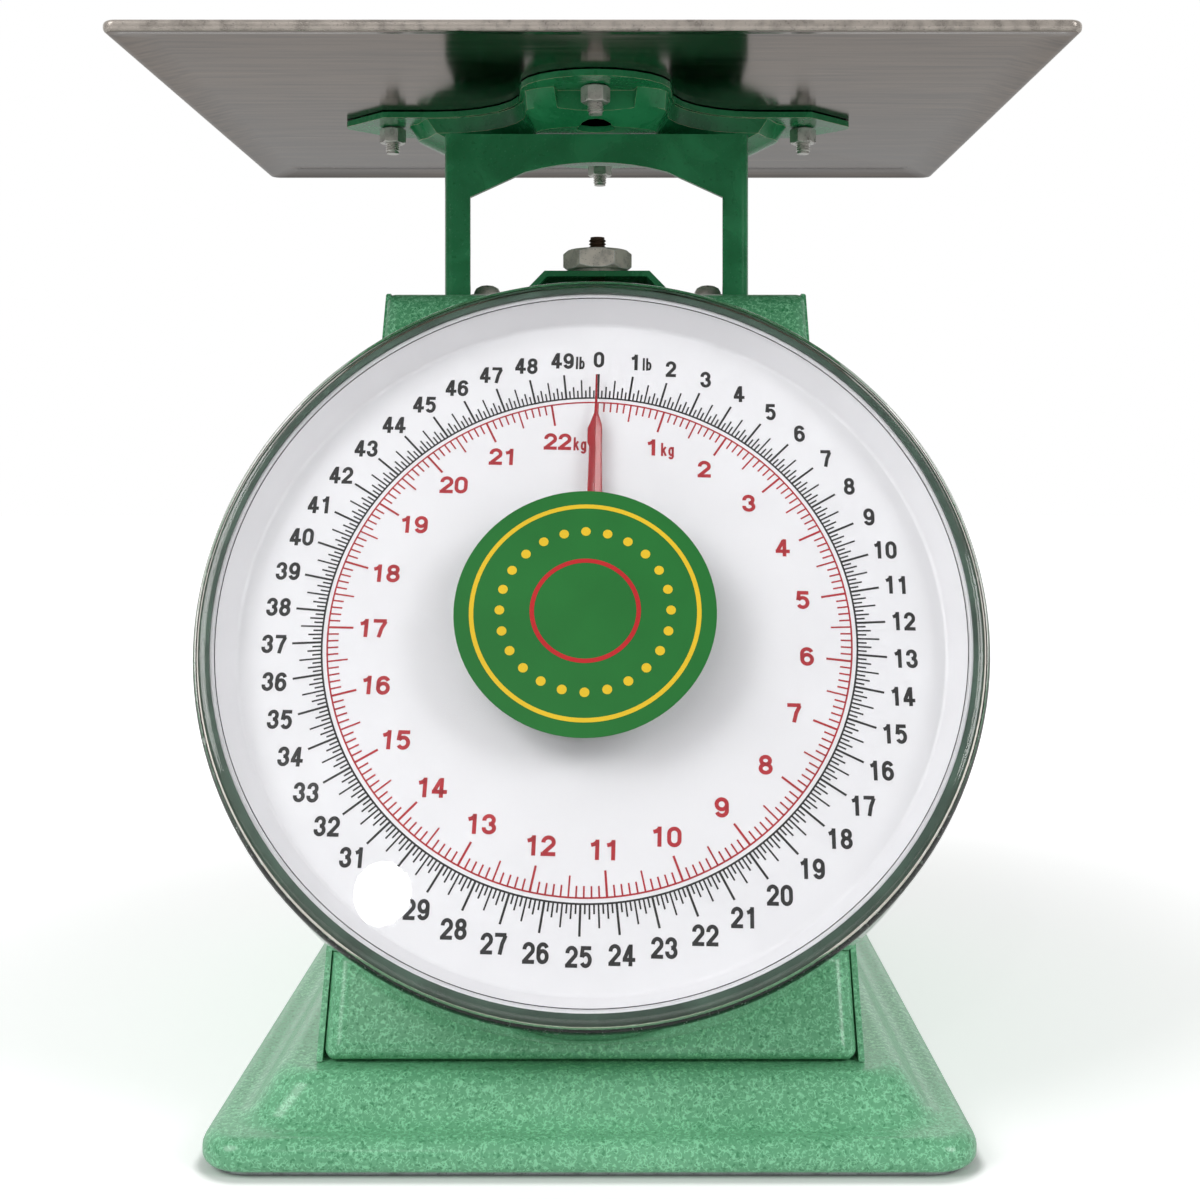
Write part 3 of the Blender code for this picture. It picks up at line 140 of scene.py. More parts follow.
class DialSizes(PropertyGroup):
    """Sizes of the dial, measured from the dial axis and off the panel's face."""
    __annotations__ = named(
        length,
        cover_radius=("Outside of the clear cover", 0.106),
        cover_front=("Front of the clear cover", 0.031),
        cover_back=("End of the cover's skirt", 0.007),
        cover_wall=("Thickness of the clear cover", 0.0018),
        cover_round=("Round of the cover's front edge", 0.004),
        cover_soft=("Round of the cover's back edges", 0.0004),
        can_radius=("Outside of the dial can", 0.1038),
        can_front=("Front of the can's lip", 0.0288),
        can_lip=("Width of the can's turned-in lip", 0.0025),
        can_sheet=("Thickness of the can", 0.001),
        can_round=("Round of the can's front edge", 0.0006),
        can_back=("Back of the can off the panel", 0.0003),
        can_hole=("Hole in the can's back", 0.008),
        face=("Height of the printed face", 0.0185),
        face_radius=("Foot of the dial's cone", 0.0962),
        cone_radius=("Top of the dial's cone", 0.1007),
        rim_radius=("Outside of the dial's flat rim", 0.1024),
        rim_front=("Height of the dial's flat rim", 0.0275),
        face_round=("Round of the cone's foot", 0.0008),
        rim_round=("Round of the cone's top", 0.0003),
        sheet=("Thickness of the dial plate", 0.0008),
        hub_hole=("Hole for the pointer's shaft", 0.004),
        ink=("Thickness of the print", 0.00006),
        black_ring=("Radius of the outer scale's line", 0.0726),
        red_ring=("Radius of the inner scale's line", 0.0711),
        black_numbers=("Radius of the outer numbers", 0.0855),
        red_numbers=("Radius of the inner numbers", 0.0591),
        ring_line=("Width of the outer scale's ring", 0.0005),
        major_line=("Width of the lines at whole numbers", 0.0006),
        minor_line=("Width of the lines between and of the inner scale's ring", 0.00045),
        zero_line=("Width of the line at zero", 0.0008),
        pound_tick=("Line at a whole pound", 0.0080),
        half_pound_tick=("Line at half a pound", 0.0060),
        quarter_pound_tick=("Line at a quarter of a pound", 0.0038),
        eighth_pound_tick=("Line at an eighth of a pound", 0.0025),
        kilogram_tick=("Line at a whole kilogram", 0.0068),
        half_kilogram_tick=("Line at half a kilogram", 0.0055),
        tenth_kilogram_tick=("Line at a tenth of a kilogram", 0.0030),
        print_shift=("How far the print sits beside the dial axis", -0.0007),
        print_drop=("How far the print sits below the dial axis", 0.0010),
        number_height=("Height of the numbers", 0.0053),
        black_wide=("Width of one outer figure", 0.0031),
        red_wide=("Width of one inner figure", 0.0037),
        black_stroke=("Stroke of the outer figures", 0.00098),
        red_stroke=("Stroke of the inner figures", 0.00104),
        figure_gap=("Space between two figures", 0.00042),
        unit_height=("Height of the unit marks", 0.0041),
        unit_wide=("Width of one letter of a unit mark", 0.0016),
        unit_stroke=("Stroke of the unit marks", 0.0006),
        # A painted shade line, printed in black ink.
        rim_line=("Radius of the thin line at the cone's top", 0.1001),
        label_radius=("Round label on the cover", 0.035),
        label_rise=("Label's middle above the dial axis", 0.0009),
        label_shift=("Label's middle beside the dial axis", -0.0017),
        label_sheet=("Thickness of the label", 0.00012),
        label_ring=("Radius of the ring printed on the label", 0.0303),
        label_line=("Width of the label's rings", 0.0012),
        label_dot=("Radius of one dot on the label", 0.0013),
        label_dot_ring=("Radius of the circle of dots", 0.0228),
        label_inner=("Radius of the label's inner ring", 0.0142),
        pointer_foot=("Height of the pointer's underside", 0.0207),
        pointer_sheet=("Thickness of the pointer", 0.0007),
        pointer_hub=("Radius of the pointer's hub", 0.007),
        pointer_bore=("Radius of the hub's bore", 0.0016),
    ) | named(
        count,
        steps=("Facets round the dial's circles", 160),
        hub_steps=("Facets round the pointer's hub", 48),
        label_steps=("Facets round the label's circles", 96),
        label_dots=("Dots round the label", 24),
        pounds=("Pounds in one turn of the pointer", 50),
        kilograms=("Whole kilograms on the inner scale", 22),
    ) | named(
        angle,
        print_turn=("How far the print is turned clockwise", math.radians(1.4)),
        pointer_turn=("How far past upright the pointer is set", math.radians(0.55)),
    )


class MetalSizes(PropertyGroup):
    """Sizes of the tray, base, housing and panel, the fasteners and the softened edges."""
    __annotations__ = named(
        length,
        tray_corner=("Corner radius of the tray", 0.004),
        tray_hem=("Width of the folded hem", 0.0026),
        tray_fall=("Run from the hem up to the tray's underside", 0.009),
        tray_sheet=("Thickness of the tray", 0.0012),
        tray_round=("Round of the hem's edges", 0.0013),
        stud_pitch=("Thread pitch of the tray studs", 0.0008),
        rod_pitch=("Thread pitch of the zero rod", 0.0011),
        rod_radius=("Outside of the zero rod's thread", 0.0029),
        screw_head=("Radius of the bridge screws' heads", 0.0046),
        screw_rise=("Height of the bridge screws' heads", 0.0034),
        washer=("Radius of the washers", 0.0058),
        washer_sheet=("Thickness of the washers", 0.001),
        screw_slot=("Width of the cross in the screws", 0.0011),
        soft_edge=("Round on pressed edges", 0.0006),
        nut_edge=("Round on the nuts' edges", 0.0002),
        base_corner=("Corner radius of the base's lip", 0.012),
        base_corner_least=("Corner radius at the slope's top", 0.011),
        base_sheet=("Thickness of the base pan", 0.0012),
        base_lip=("Height of the base's upright lip", 0.0088),
        base_lip_round=("Round of the lip's upper edge", 0.0042),
        base_ledge=("Ledge between the lip and the slope", 0.009),
        base_slope=("Run of the slope up to the base's top", 0.0075),
        base_crease=("Round of the slope's foot and top", 0.003),
        base_turn=("Round of the lip's lower edge", 0.0024),
        base_gap=("Lip's lower edge above the floor", 0.001),
        panel_round=("Round of the panel's front edges", 0.006),
        panel_spread=("How far the panel's rolled sides stand out", 0.0009),
        house_spread=("How far the housing's feet stand out", 0.0014),
        house_pinch=("How far the housing's top draws in", 0.0018),
        house_set=("How far the housing's front edge stands behind the panel", 0.003),
        panel_corner=("Corner radius of the panel", 0.0032),
        panel_sheet=("Thickness of the panel", 0.0012),
        yoke_edge=("Round of the yoke's edges", 0.001),
        base_seat=("Where the base pan meets its bottom plate", 0.0027),
    )


class StageSizes(PropertyGroup):
    """Camera, lamps and floor."""
    __annotations__ = named(
        length,
        floor_reach=("Half the floor's width", 6.0),
        floor_gap=("How far the floor lies below the base", 0.0003),
        # Width of the painted contact shadow round the base.
        contact=("Width of the dark line where the base meets the floor", 0.003),
        near=("Where the floor's light starts to rise", 0.17),
        far=("Where the floor's light is full", 0.5),
    ) | named(
        place,
        camera_place=("Where the camera stands, level and facing +Y", (0.007, -0.5167, 0.1692)),
        key_place=("Where the key lamp stands", (-1.1, -0.9, 1.15)),
        fill_place=("Where the fill lamp stands", (1.2, -0.95, 0.95)),
        glint_place=("Where the small lamp stands that glints in the cover", (-0.222, -1.07, 0.785)),
        aim=("What the lamps point at", (0, -0.02, 0.13)),
    ) | named(
        lamp_size,
        key_size=("Width and height of the key lamp", (0.75, 1.1)),
        fill_size=("Width and height of the fill lamp", (0.45, 0.9)),
        glint_size=("Width and height of the small lamp", (0.055, 0.06)),
    ) | named(
        power,
        key_power=("Key lamp in watts", 11),
        fill_power=("Fill lamp in watts", 7),
        glint_power=("Small lamp in watts", 0.34),
    ) | named(
        FloatProperty,
        lens=("Focal length in millimetres", 48),
        sensor=("Sensor's width in millimetres", 36),
        shift_x=("Sideways shift of the frame", -0.015),
        shift_y=("Upward shift of the frame", -0.104),
        ambient=("Even light from all sides", 0.45),
        room=("What shines back from the camera's side", 0.3),
        lift_near=("Light that the floor adds beside the scale", 0.44),
        lift_far=("Light that the floor adds far away", 0.85),
        lift_mirrored=("Share of it that metal shows", 0.2),
    )


# Finishes

class Value:
    """One output of a finish's node tree; sums on it add Math nodes."""

    def __init__(self, finish, socket):
        self.finish, self.socket = finish, socket

    def math(self, operation, *others):
        return self.finish.node("Math", dict(enumerate((self, *others))), operation=operation)

    def __rsub__(self, other):
        return self * -1 + other

    __add__ = __radd__ = partialmethod(math, "ADD")
    __mul__ = __rmul__ = partialmethod(math, "MULTIPLY")
    __sub__ = partialmethod(math, "SUBTRACT")
    __pow__ = partialmethod(math, "POWER")
    __abs__ = partialmethod(math, "ABSOLUTE")


class Finish:
    """A node tree that paints one material or the world."""

    def __init__(self, owner):
        owner.use_nodes = True
        self.owner, self.tree = owner, owner.node_tree
        self.tree.nodes.clear()

    def node(self, kind, inputs=(), output=0, **settings):
        """Adds a node, sets it up, feeds its sockets and gives one of its outputs."""
        node = self.tree.nodes.new("ShaderNode" + kind)
        for name, setting in settings.items():
            setattr(node, name, setting)
        for key, value in dict(inputs).items():
            if isinstance(value, Value):
                self.tree.links.new(value.socket, node.inputs[key])
            else:
                node.inputs[key].default_value = value
        return Value(self, node.outputs[output]) if node.outputs else None

    def place(self, turn=(0, 0, 0), stretch=(1, 1, 1), shift=(0, 0, 0)):
        """Object coordinates, turned and stretched for a pattern."""
        where = self.node("TexCoord", output="Object")
        return self.node("Mapping", {"Vector": where, "Location": shift, "Rotation": turn,
                                     "Scale": stretch})

    def axis(self, where, name):
        """One coordinate of a place."""
        return self.node("SeparateXYZ", {"Vector": where}, name)

    def noise(self, scale, detail=2.0, twist=0.0, **place):
        return self.node("TexNoise", {"Vector": self.place(**place), "Scale": scale, "Detail": detail,
                                      "Distortion": twist}, "Fac")

    def ramp(self, value, low, high):
        """0 below low, 1 above high, smooth between."""
        return self.node("MapRange", {"Value": value, "From Min": low, "From Max": high},
                         interpolation_type="SMOOTHSTEP")

    def mix(self, share, first, second):
        """A colour between two colours."""
        return self.node("Mix", {0: share, 6: opaque(first), 7: opaque(second)}, 2, data_type="RGBA")

    def bump(self, height, distance, strength=1.0):
        return self.node("Bump", {"Height": height, "Distance": distance, "Strength": strength})

    def shader(self, **sockets):
        """A surface shader, its sockets named with _ for a space."""
        return self.node("BsdfPrincipled",
                         {name.replace("_", " "): opaque(value) for name, value in sockets.items()})

    def done(self, shader):
        """The material, with a shader on its surface."""
        self.node("OutputMaterial", {"Surface": shader})
        return self.owner

    def surface(self, **sockets):
        return self.done(self.shader(**sockets))


def opaque(value):
    """A colour with full alpha where three numbers were given."""
    return (*value, 1) if hasattr(value, "__len__") and len(value) == 3 else value


def finish(name):
    return Finish(bpy.data.materials.new(name))


def hammer_paint(name, low, high, worm_size, rough):
    """Enamel that dried in short bent worms, with drifts of tone, dark specks and painted shade that
    darkens it toward the top, under the tray.
    """
    f = finish(name)
    first, second = (f.ramp(1 - abs(f.noise(1 / worm_size, 0, 0.7, shift=shift) * 2 - 1), 0.84, 0.98)
                     for shift in ((0, 0, 0), (8, 2, 5)))
    breaks = f.ramp(f.noise(1 / worm_size, 1, shift=(5, 3, 1)), 0.4, 0.54)
    worms = first.math("MAXIMUM", second) * breaks
    drift = f.ramp(f.noise(28, 2), 0.35, 0.7)
    specks = f.ramp(f.noise(1.3 / worm_size, 1, shift=(2, 7, 4)), 0.56, 0.72)
    # Painted shade: the tone falls with height, standing in for the tray's shade on the housing's top.
    top = f.ramp(f.axis(f.place(), "Z"), 0.1, 0.23)
    tone = worms * 0.5 + drift * 0.12 - specks * 0.26 - top * 0.36 + 0.42
    return f.surface(Base_Color=f.mix(tone, low, high),
                     Roughness=worms * -0.06 + drift * 0.06 + rough,
                     Normal=f.bump(worms - specks * 0.5, 0.00002, 0.3), Specular_IOR_Level=0.18,
                     Coat_Weight=0.4, Coat_Roughness=0.2, Coat_IOR=1.7)


def gloss_paint(name, low, high, rough):
    """Smooth enamel with runs of tone, dust and pin specks."""
    f = finish(name)
    runs = f.ramp(f.noise(60, 3, 0.6), 0.3, 0.7)
    dust = f.ramp(f.noise(1300, 2), 0.63, 0.74)
    pins = f.ramp(f.noise(760, 1, shift=(4, 1, 6)), 0.66, 0.74)
    tone = runs * 0.7 + dust * 0.35 - pins * 0.4 + 0.1
    return f.surface(Base_Color=f.mix(tone, low, high), Roughness=runs * 0.1 + dust * 0.15 + rough,
                     Normal=f.bump(runs * 0.3 + dust - pins, 0.00002, 0.4), Specular_IOR_Level=0.3)


def rubbed_highlit_edge(name, base, paint):
    """Paint rubbed thin along an edge, with the metal showing in places, and lightened as a painted
    highlight.
    """
    f = finish(name)
    rub = f.ramp(f.noise(260, 3), 0.28, 0.5)
    return f.surface(Base_Color=f.mix(rub, paint, base), Roughness=rub * 0.1 + 0.3,
                     Normal=f.bump(rub, 0.00002, 0.4), Metallic=rub * 0.3)


def brushed_steel(name, base, rough, stretch, depth, metallic=1.0):
    """Metal with drawn lines, cloudy handling marks and stray scratches, with a painted reflection that
    makes it brighter toward the front.
    """
    f = finish(name)
    lines = f.noise(1, 3, stretch=stretch)
    clouds = f.noise(34, 3)
    coarse = tuple(s * 0.6 for s in stretch)
    scratch = f.ramp(f.noise(1, 1, stretch=coarse, shift=(3, 5, 7)), 0.68, 0.74)
    low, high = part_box("tray")
    # Painted reflection: the steel is lighter toward the tray's front edge, where the bright floor shows
    # in it.
    painted_front_reflection = 1 - f.ramp(f.axis(f.place(), "Y"), low.y, high.y)
    tone = lines * 0.9 + clouds * 0.2 + scratch * 0.2 + painted_front_reflection * 0.3
    dull = tuple(c * 0.5 for c in base)
    bright = tuple(min(1, c * 1.7) for c in base)
    return f.surface(Base_Color=f.mix(f.ramp(tone, 0.4, 1.05), dull, bright),
                     Roughness=lines * 0.1 + clouds * 0.08 + (rough - 0.09),
                     Normal=f.bump(lines + scratch, depth, 0.6), Metallic=metallic)


def plain_metal(name, base, rough, metallic=1.0):
    """Turned, cast or plated metal with faint stains and pits."""
    f = finish(name)
    stains = f.noise(210, 3)
    pits = f.ramp(f.noise(1900, 1), 0.6, 0.75)
    dull = tuple(c * 0.6 for c in base)
    return f.surface(Base_Color=f.mix(f.ramp(stains - pits * 0.25, 0.25, 0.6), dull, base),
                     Roughness=stains * 0.2 + pits * 0.15 + (rough - 0.1),
                     Normal=f.bump(stains - pits, 0.00003, 0.4), Metallic=metallic)


def smooth_coat(name, base, rough, drift=0.08, coat=0.0):
    """Enamel, print or film: even, with a faint drift of tone and a little orange peel."""
    f = finish(name)
    clouds = f.noise(45, 3)
    peel = f.noise(900, 1)
    dull = tuple(c * (1 - drift) for c in base)
    return f.surface(Base_Color=f.mix(f.ramp(clouds, 0.3, 0.7), dull, base),
                     Roughness=clouds * 0.08 + (rough - 0.04),
                     Normal=f.bump(peel, 0.00001, 0.3), Coat_Weight=coat)


def clear_plastic(name, base, rim, radius, front, edge):
    """Clear moulding, rubbed at its rim, where a brown-grey colour is painted for the look of its wall
    seen edge-on; lamps shine through it.
    """
    f = finish(name)
    back = DIAL.inverted()
    local = f.place(turn=back.to_euler(), shift=back.translation)
    across, up = f.axis(local, "X"), f.axis(local, "Y")
    # Painted refraction look: the rim is coloured brown-grey; the scuffs there are wear.
    rimmed = (f.ramp((across * across + up * up) ** 0.5, radius - edge, radius)
              * f.ramp(f.axis(local, "Z"), front - edge * 1.5, front - edge))
    rubs = f.ramp(f.noise(420, 3), 0.55, 0.8)
    scuffs = f.ramp(f.noise(700, 2, 0.8), 0.5, 0.7)
    body = f.shader(Base_Color=f.mix(rimmed * (1 - scuffs * 0.5), base, rim),
                    Roughness=rubs * 0.02 + rimmed * scuffs * 0.3 + 0.012, IOR=1.49,
                    Transmission_Weight=1.0, Normal=f.bump(f.noise(300, 2), 0.00001, 0.2))
    through = f.node("BsdfTransparent", {"Color": opaque(base)})
    shadow = f.node("LightPath", output="Is Shadow Ray")
    mixed = f.node("MixShader", {0: shadow, 1: body, 2: through})
    return f.done(mixed)


FINISHES = {}


def make_finishes(c, d):
    FINISHES.update(
        light_green=hammer_paint("light_green_hammer_paint", c.hammer_dark, c.hammer_light, 0.0013, 0.3),
        dark_green=gloss_paint("dark_green_paint", c.gloss_dark, c.gloss_light, 0.22),
        can_green=gloss_paint("can_green_paint", tuple(v * 0.5 for v in c.can_green), c.can_green, 0.35),
        worn_edge=rubbed_highlit_edge("rubbed_green_edge", c.worn_edge, c.gloss_light),
        tray=brushed_steel("brushed_stainless", c.stainless, 0.15, (24, 480, 480), 0.00001),
        tray_top=brushed_steel("brushed_top", c.tray_top, 0.3, (24, 480, 480), 0.00001, 0.7),
        tray_rim=plain_metal("rubbed_hem", c.tray_rim, 0.3, 0.4),
        bright_steel=plain_metal("bright_steel", c.bright_steel, 0.3, 0.6),
        screw_steel=plain_metal("screw_steel", c.screw_steel, 0.3, 0.2),
        grey_steel=plain_metal("grey_steel", c.grey_steel, 0.55, 0.1),
        grey_edge=plain_metal("rubbed_grey_edge", c.grey_edge, 0.4, 0.1),
        zinc=plain_metal("zinc_plate", c.zinc, 0.38),
        black_steel=plain_metal("blackened_steel", c.black_steel, 0.45, 0.5),
        brass=plain_metal("plain_brass", c.brass, 0.3),
        enamel=smooth_coat("white_enamel", c.enamel, 0.32, 0.03),
        black_ink=smooth_coat("black_print", c.black_ink, 0.5, 0.2),
        red_ink=smooth_coat("red_print", c.red_ink, 0.5, 0.12),
        pointer_red=smooth_coat("red_pointer_paint", c.pointer_red, 0.22, 0.15, 0.5),
        label_green=smooth_coat("green_label", c.label_green, 0.4, 0.1),
        label_yellow=smooth_coat("yellow_label", c.label_yellow, 0.4, 0.06),
        label_red=smooth_coat("red_label", c.label_red, 0.4, 0.1),
        clear=clear_plastic("clear_plastic", c.clear, c.clear_rim, d.cover_radius, d.cover_front,
                            d.cover_round),
    )


# Shaping

def bevel(bm, edges, width, segments):
    """Rounds edges and gives the faces that this adds."""
    return bmesh.ops.bevel(bm, geom=edges, offset=width, offset_type="OFFSET", segments=segments,
                           profile=0.5, affect="EDGES", clamp_overlap=True, material=-1)["faces"]


def sharp(bm, least):
    """Edges whose faces meet at more than an angle in degrees."""
    return [e for e in bm.edges if e.is_manifold and e.calc_face_angle() > math.radians(least)]


def merged(bm, distance):
    bmesh.ops.remove_doubles(bm, verts=bm.verts, dist=distance)


def faced(bm):
    """Turns all faces outward."""
    bmesh.ops.recalc_face_normals(bm, faces=bm.faces)


def turned(points, steps, bm=None):
    """A profile of radius and height turned round the Z axis."""
    bm = bm or bmesh.new()
    verts = [bm.verts.new((radius, 0, height)) for radius, height in points]
    pairs = list(zip(verts, verts[1:] + verts[:1]))
    edges = [bm.edges.new(p) for p in pairs if p[0].co.x + p[1].co.x > 0]
    bmesh.ops.spin(bm, geom=verts + edges, cent=(0, 0, 0), axis=(0, 0, 1), angle=FULL_TURN,
                   steps=steps, use_merge=True)
    merged(bm, 1e-7)
    faced(bm)
    return bm


def ring(radius, width, low, high, steps, bm=None):
    """A flat ring about a radius."""
    inner, outer = radius - width / 2, radius + width / 2
    return turned([(inner, low), (outer, low), (outer, high), (inner, high)], steps, bm)


def round_circle(bm, radius, height, width, segments):
    """Rounds the edges that run round one circle of a turned shape."""
    near = 1e-5
    edges = [e for e in bm.edges if all(abs(math.hypot(v.co.x, v.co.y) - radius) < near
                                        and abs(v.co.z - height) < near for v in e.verts)]
    bevel(bm, edges, width, segments)


def cut(bm, point, normal, **settings):
    """Cuts a whole shape with a plane."""
    bmesh.ops.bisect_plane(bm, geom=bm.verts[:] + bm.edges[:] + bm.faces[:], plane_co=point,
                           plane_no=normal, **settings)


def push(bm, faces, reach):
    """Extrudes faces up, or down where the reach is below zero."""
    made = fresh(bmesh.ops.extrude_face_region(bm, geom=faces))
    bmesh.ops.translate(bm, verts=made, vec=(0, 0, reach))


def fresh(made):
    """The vertices among what an operator made."""
    return [part for part in made["geom"] if isinstance(part, bmesh.types.BMVert)]


def cad_copy(node):
    """A merged copy of a CAD node, with flat areas as single faces."""
    bm = bmesh.new()
    bm.from_mesh(frame["nodes"][node].data)
    merged(bm, 2e-6)
    bmesh.ops.dissolve_limit(bm, angle_limit=math.radians(0.5), verts=bm.verts, edges=bm.edges)
    return bm


def block(bm, low, high):
    """A box between two corners."""
    low, high = Vector(low), Vector(high)
    place = Matrix.Translation((low + high) / 2) @ Matrix.Diagonal((*(high - low), 1))
    return bmesh.ops.create_cube(bm, size=1, matrix=place)["verts"]


def loft(bm, rings):
    """Extrudes an outline from ring to ring, closes both ends and gives the rings' edges."""
    verts = [bm.verts.new(point) for point in rings[0]]
    bm.faces.new(verts)
    loops = [[bm.edges.get(pair) for pair in zip(verts, verts[1:] + verts[:1])]]
    for outline in rings[1:]:
        made = fresh(bmesh.ops.extrude_edge_only(bm, edges=loops[-1]))
        ends = {tuple(v.co): v for v in made}
        verts = [ends[tuple(v.co)] for v in verts]
        for vert, point in zip(verts, outline):
            vert.co = point
        loops.append([bm.edges.get(pair) for pair in zip(verts, verts[1:] + verts[:1])])
    bm.faces.new(verts)
    faced(bm)
    return loops


def rounded_outline(low, high, inset, radius, height, steps=9):
    """A rectangle's outline, set in from two corners, with round corners."""
    reach = inset + radius
    middles = ((high.x - reach, high.y - reach), (low.x + reach, high.y - reach),
               (low.x + reach, low.y + reach), (high.x - reach, low.y + reach))
    points = []
    for quarter, (x, y) in enumerate(middles):
        for step in range(steps + 1):
            angle = (quarter + step / steps) * HALF_TURN / 2
            points.append((x + radius * math.cos(angle), y + radius * math.sin(angle), height))
    return points


def meshed(name, bm):
    """Makes a mesh of a bmesh and frees it."""
    mesh = bpy.data.meshes.new(name)
    bm.to_mesh(mesh)
    bm.free()
    return mesh


def linked(name, data):
    """Makes an object of a mesh, lamp or camera."""
    made = bpy.data.objects.new(name, data)
    bpy.context.scene.collection.objects.link(made)
    return made


def placed(name, bm, material, body, nodes=(), place=None, crease=32, weighted=False,
           others=()):
    """Makes a piece of a bmesh: it rides on a body and stands for its CAD nodes."""
    if place is not None:
        bm.transform(place)
    for face in bm.faces:
        face.smooth = True
    for edge in bm.edges:
        edge.smooth = not edge.is_manifold or edge.calc_face_angle() < math.radians(crease)
    if not bm.faces:
        raise RuntimeError(f"{name} came out empty")
    mesh = meshed(name, bm)
    for coat in (material, *others):
        mesh.materials.append(FINISHES[coat])
    piece = linked(name, mesh)
    if weighted:
        piece.modifiers.new("Flat faces", "WEIGHTED_NORMAL").keep_sharp = True
    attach(piece, body)
    if nodes:
        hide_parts(*nodes)
    return piece


def threaded(bottom, top, radius, pitch, steps=24):
    """A threaded stud with chamfered ends, turned ring by ring."""
    depth = pitch * 0.45
    turns = int((top - bottom - 2 * depth) / pitch)
    start = (bottom + top - turns * pitch) / 2
    points = [(0, bottom), (radius - depth, bottom)]
    for turn in range(turns):
        foot = start + turn * pitch
        points += [(radius - depth, foot + pitch * 0.05), (radius, foot + pitch * 0.42),
                   (radius, foot + pitch * 0.58), (radius - depth, foot + pitch * 0.95)]
    points += [(radius - depth, top), (0, top)]
    return turned(points, steps)


# Stage

class ScaleOperator(Operator):
    """Base of the scale's operators: it makes pieces and raises an error if it can't."""
    bl_options = {"REGISTER", "UNDO"}

    def execute(self, context):
        self.make(context.scene)
        return {"FINISHED"}


class SCALE_OT_stage(ScaleOperator):
    """Make the floor, the lamps, the world and the camera"""
    bl_idname = "dial_scale.stage"
    bl_label = "Stage"

    def make(self, scene):
        s, c = scene.scale_stage, scene.scale_colours
        scene.view_settings.view_transform = "Standard"
        self.make_floor(s, c, scene.scale_metal.base_corner)
        self.make_world(scene, s)
        for name in ("key", "fill", "glint"):
            self.make_lamp(s, name)
        camera = bpy.data.cameras.new("camera")
        camera.lens, camera.sensor_width = s.lens, s.sensor
        camera.shift_x, camera.shift_y = s.shift_x, s.shift_y
        camera.clip_start, camera.clip_end = 0.01, 50
        scene.camera = linked("camera", camera)
        scene.camera.location = s.camera_place
        scene.camera.rotation_euler = (HALF_TURN / 2, 0, 0)

    def make_floor(self, s, c, corner):
        """A pale floor that adds its own light, less near the scale and none in a band round the base,
        which paints the dark contact line as a shadow.
        """
        bm = bmesh.new()
        bmesh.ops.create_grid(bm, x_segments=1, y_segments=1, size=s.floor_reach)
        bmesh.ops.translate(bm, verts=bm.verts, vec=(0, 0, -s.floor_gap))
        f = finish("floor_paper")
        seen = self.seen_rays(f, s.lift_mirrored)
        place = f.place()
        across, along = f.axis(place, "X"), f.axis(place, "Y")
        rise = f.ramp((across * across + along * along) ** 0.5, s.near, s.far)
        low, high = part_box("base_pan")
        middle = (low + high) / 2
        reach = high - middle
        beyond = [(abs(where - spot) - (span - corner)).math("MAXIMUM", 0)
                  for where, spot, span in ((across, middle.x, reach.x), (along, middle.y, reach.y))]
        outside = (beyond[0] ** 2 + beyond[1] ** 2) ** 0.5 - corner
        # Painted shadow: the floor's glow fades out at the base's footprint, leaving a dark contact
        # line.
        lift = (rise * (s.lift_far - s.lift_near) + s.lift_near) * f.ramp(outside, 0, s.contact)
        shade = f.node("BsdfDiffuse", {"Color": opaque(c.floor)})
        glow = f.node("Emission", {"Strength": seen * lift})
        both = f.node("AddShader", {0: shade, 1: glow})
        floor = linked("floor", meshed("floor", bm))
        floor.data.materials.append(f.done(both))

    def make_world(self, scene, s):
        world = bpy.data.worlds.new("studio")
        scene.world = world
        f = Finish(world)
        camera = f.node("LightPath", output="Is Camera Ray")
        depth = f.axis(f.node("TexCoord", output="Generated"), "Y")
        shown = camera.math("MAXIMUM", f.ramp(depth, 0.1, 0.6) * (1 - s.room) + s.room)
        seen = self.seen_rays(f)
        strength = seen * shown + (1 - seen) * s.ambient
        glow = f.node("Background", {"Strength": strength, "Color": (1, 1, 1, 1)})
        f.node("OutputWorld", {"Surface": glow})

    def seen_rays(self, f, mirrored=1.0):
        """1 on rays that show the background: straight, through plastic and in metal."""
        rays = [f.node("LightPath", output=name)
                for name in ("Is Camera Ray", "Is Transmission Ray", "Is Glossy Ray")]
        return rays[0].math("MAXIMUM", rays[1]).math("MAXIMUM", rays[2] * mirrored)

    def make_lamp(self, s, name):
        """A lamp with its own size, power and place, pointed at the scale."""
        size, power, place = (getattr(s, f"{name}_{what}") for what in ("size", "power", "place"))
        lamp = bpy.data.lights.new(f"{name}_lamp", "AREA")
        lamp.shape, lamp.energy = "ELLIPSE", power
        lamp.size, lamp.size_y = size
        holder = linked(f"{name}_lamp", lamp)
        holder.location = place
        holder.rotation_euler = (Vector(s.aim) - Vector(place)).to_track_quat("-Z", "Y").to_euler()


# Platform

def rubbed_pressing(node, least, width, segments):
    """Makes a dark green pressing whose rounded edges, where they face down, are rubbed and lightened as
    a painted highlight.
    """
    bm = cad_copy(node)
    for face in bevel(bm, sharp(bm, least), width, segments):
        face.normal_update()
        # Painted highlight with rubbed paint: downward rounded edges take the pale edge finish.
        if face.normal.z < -0.25:
            face.material_index = 1
    placed(f"{node}_pressing", bm, "dark_green", "platform", [node], weighted=True,
           others=["worn_edge"])


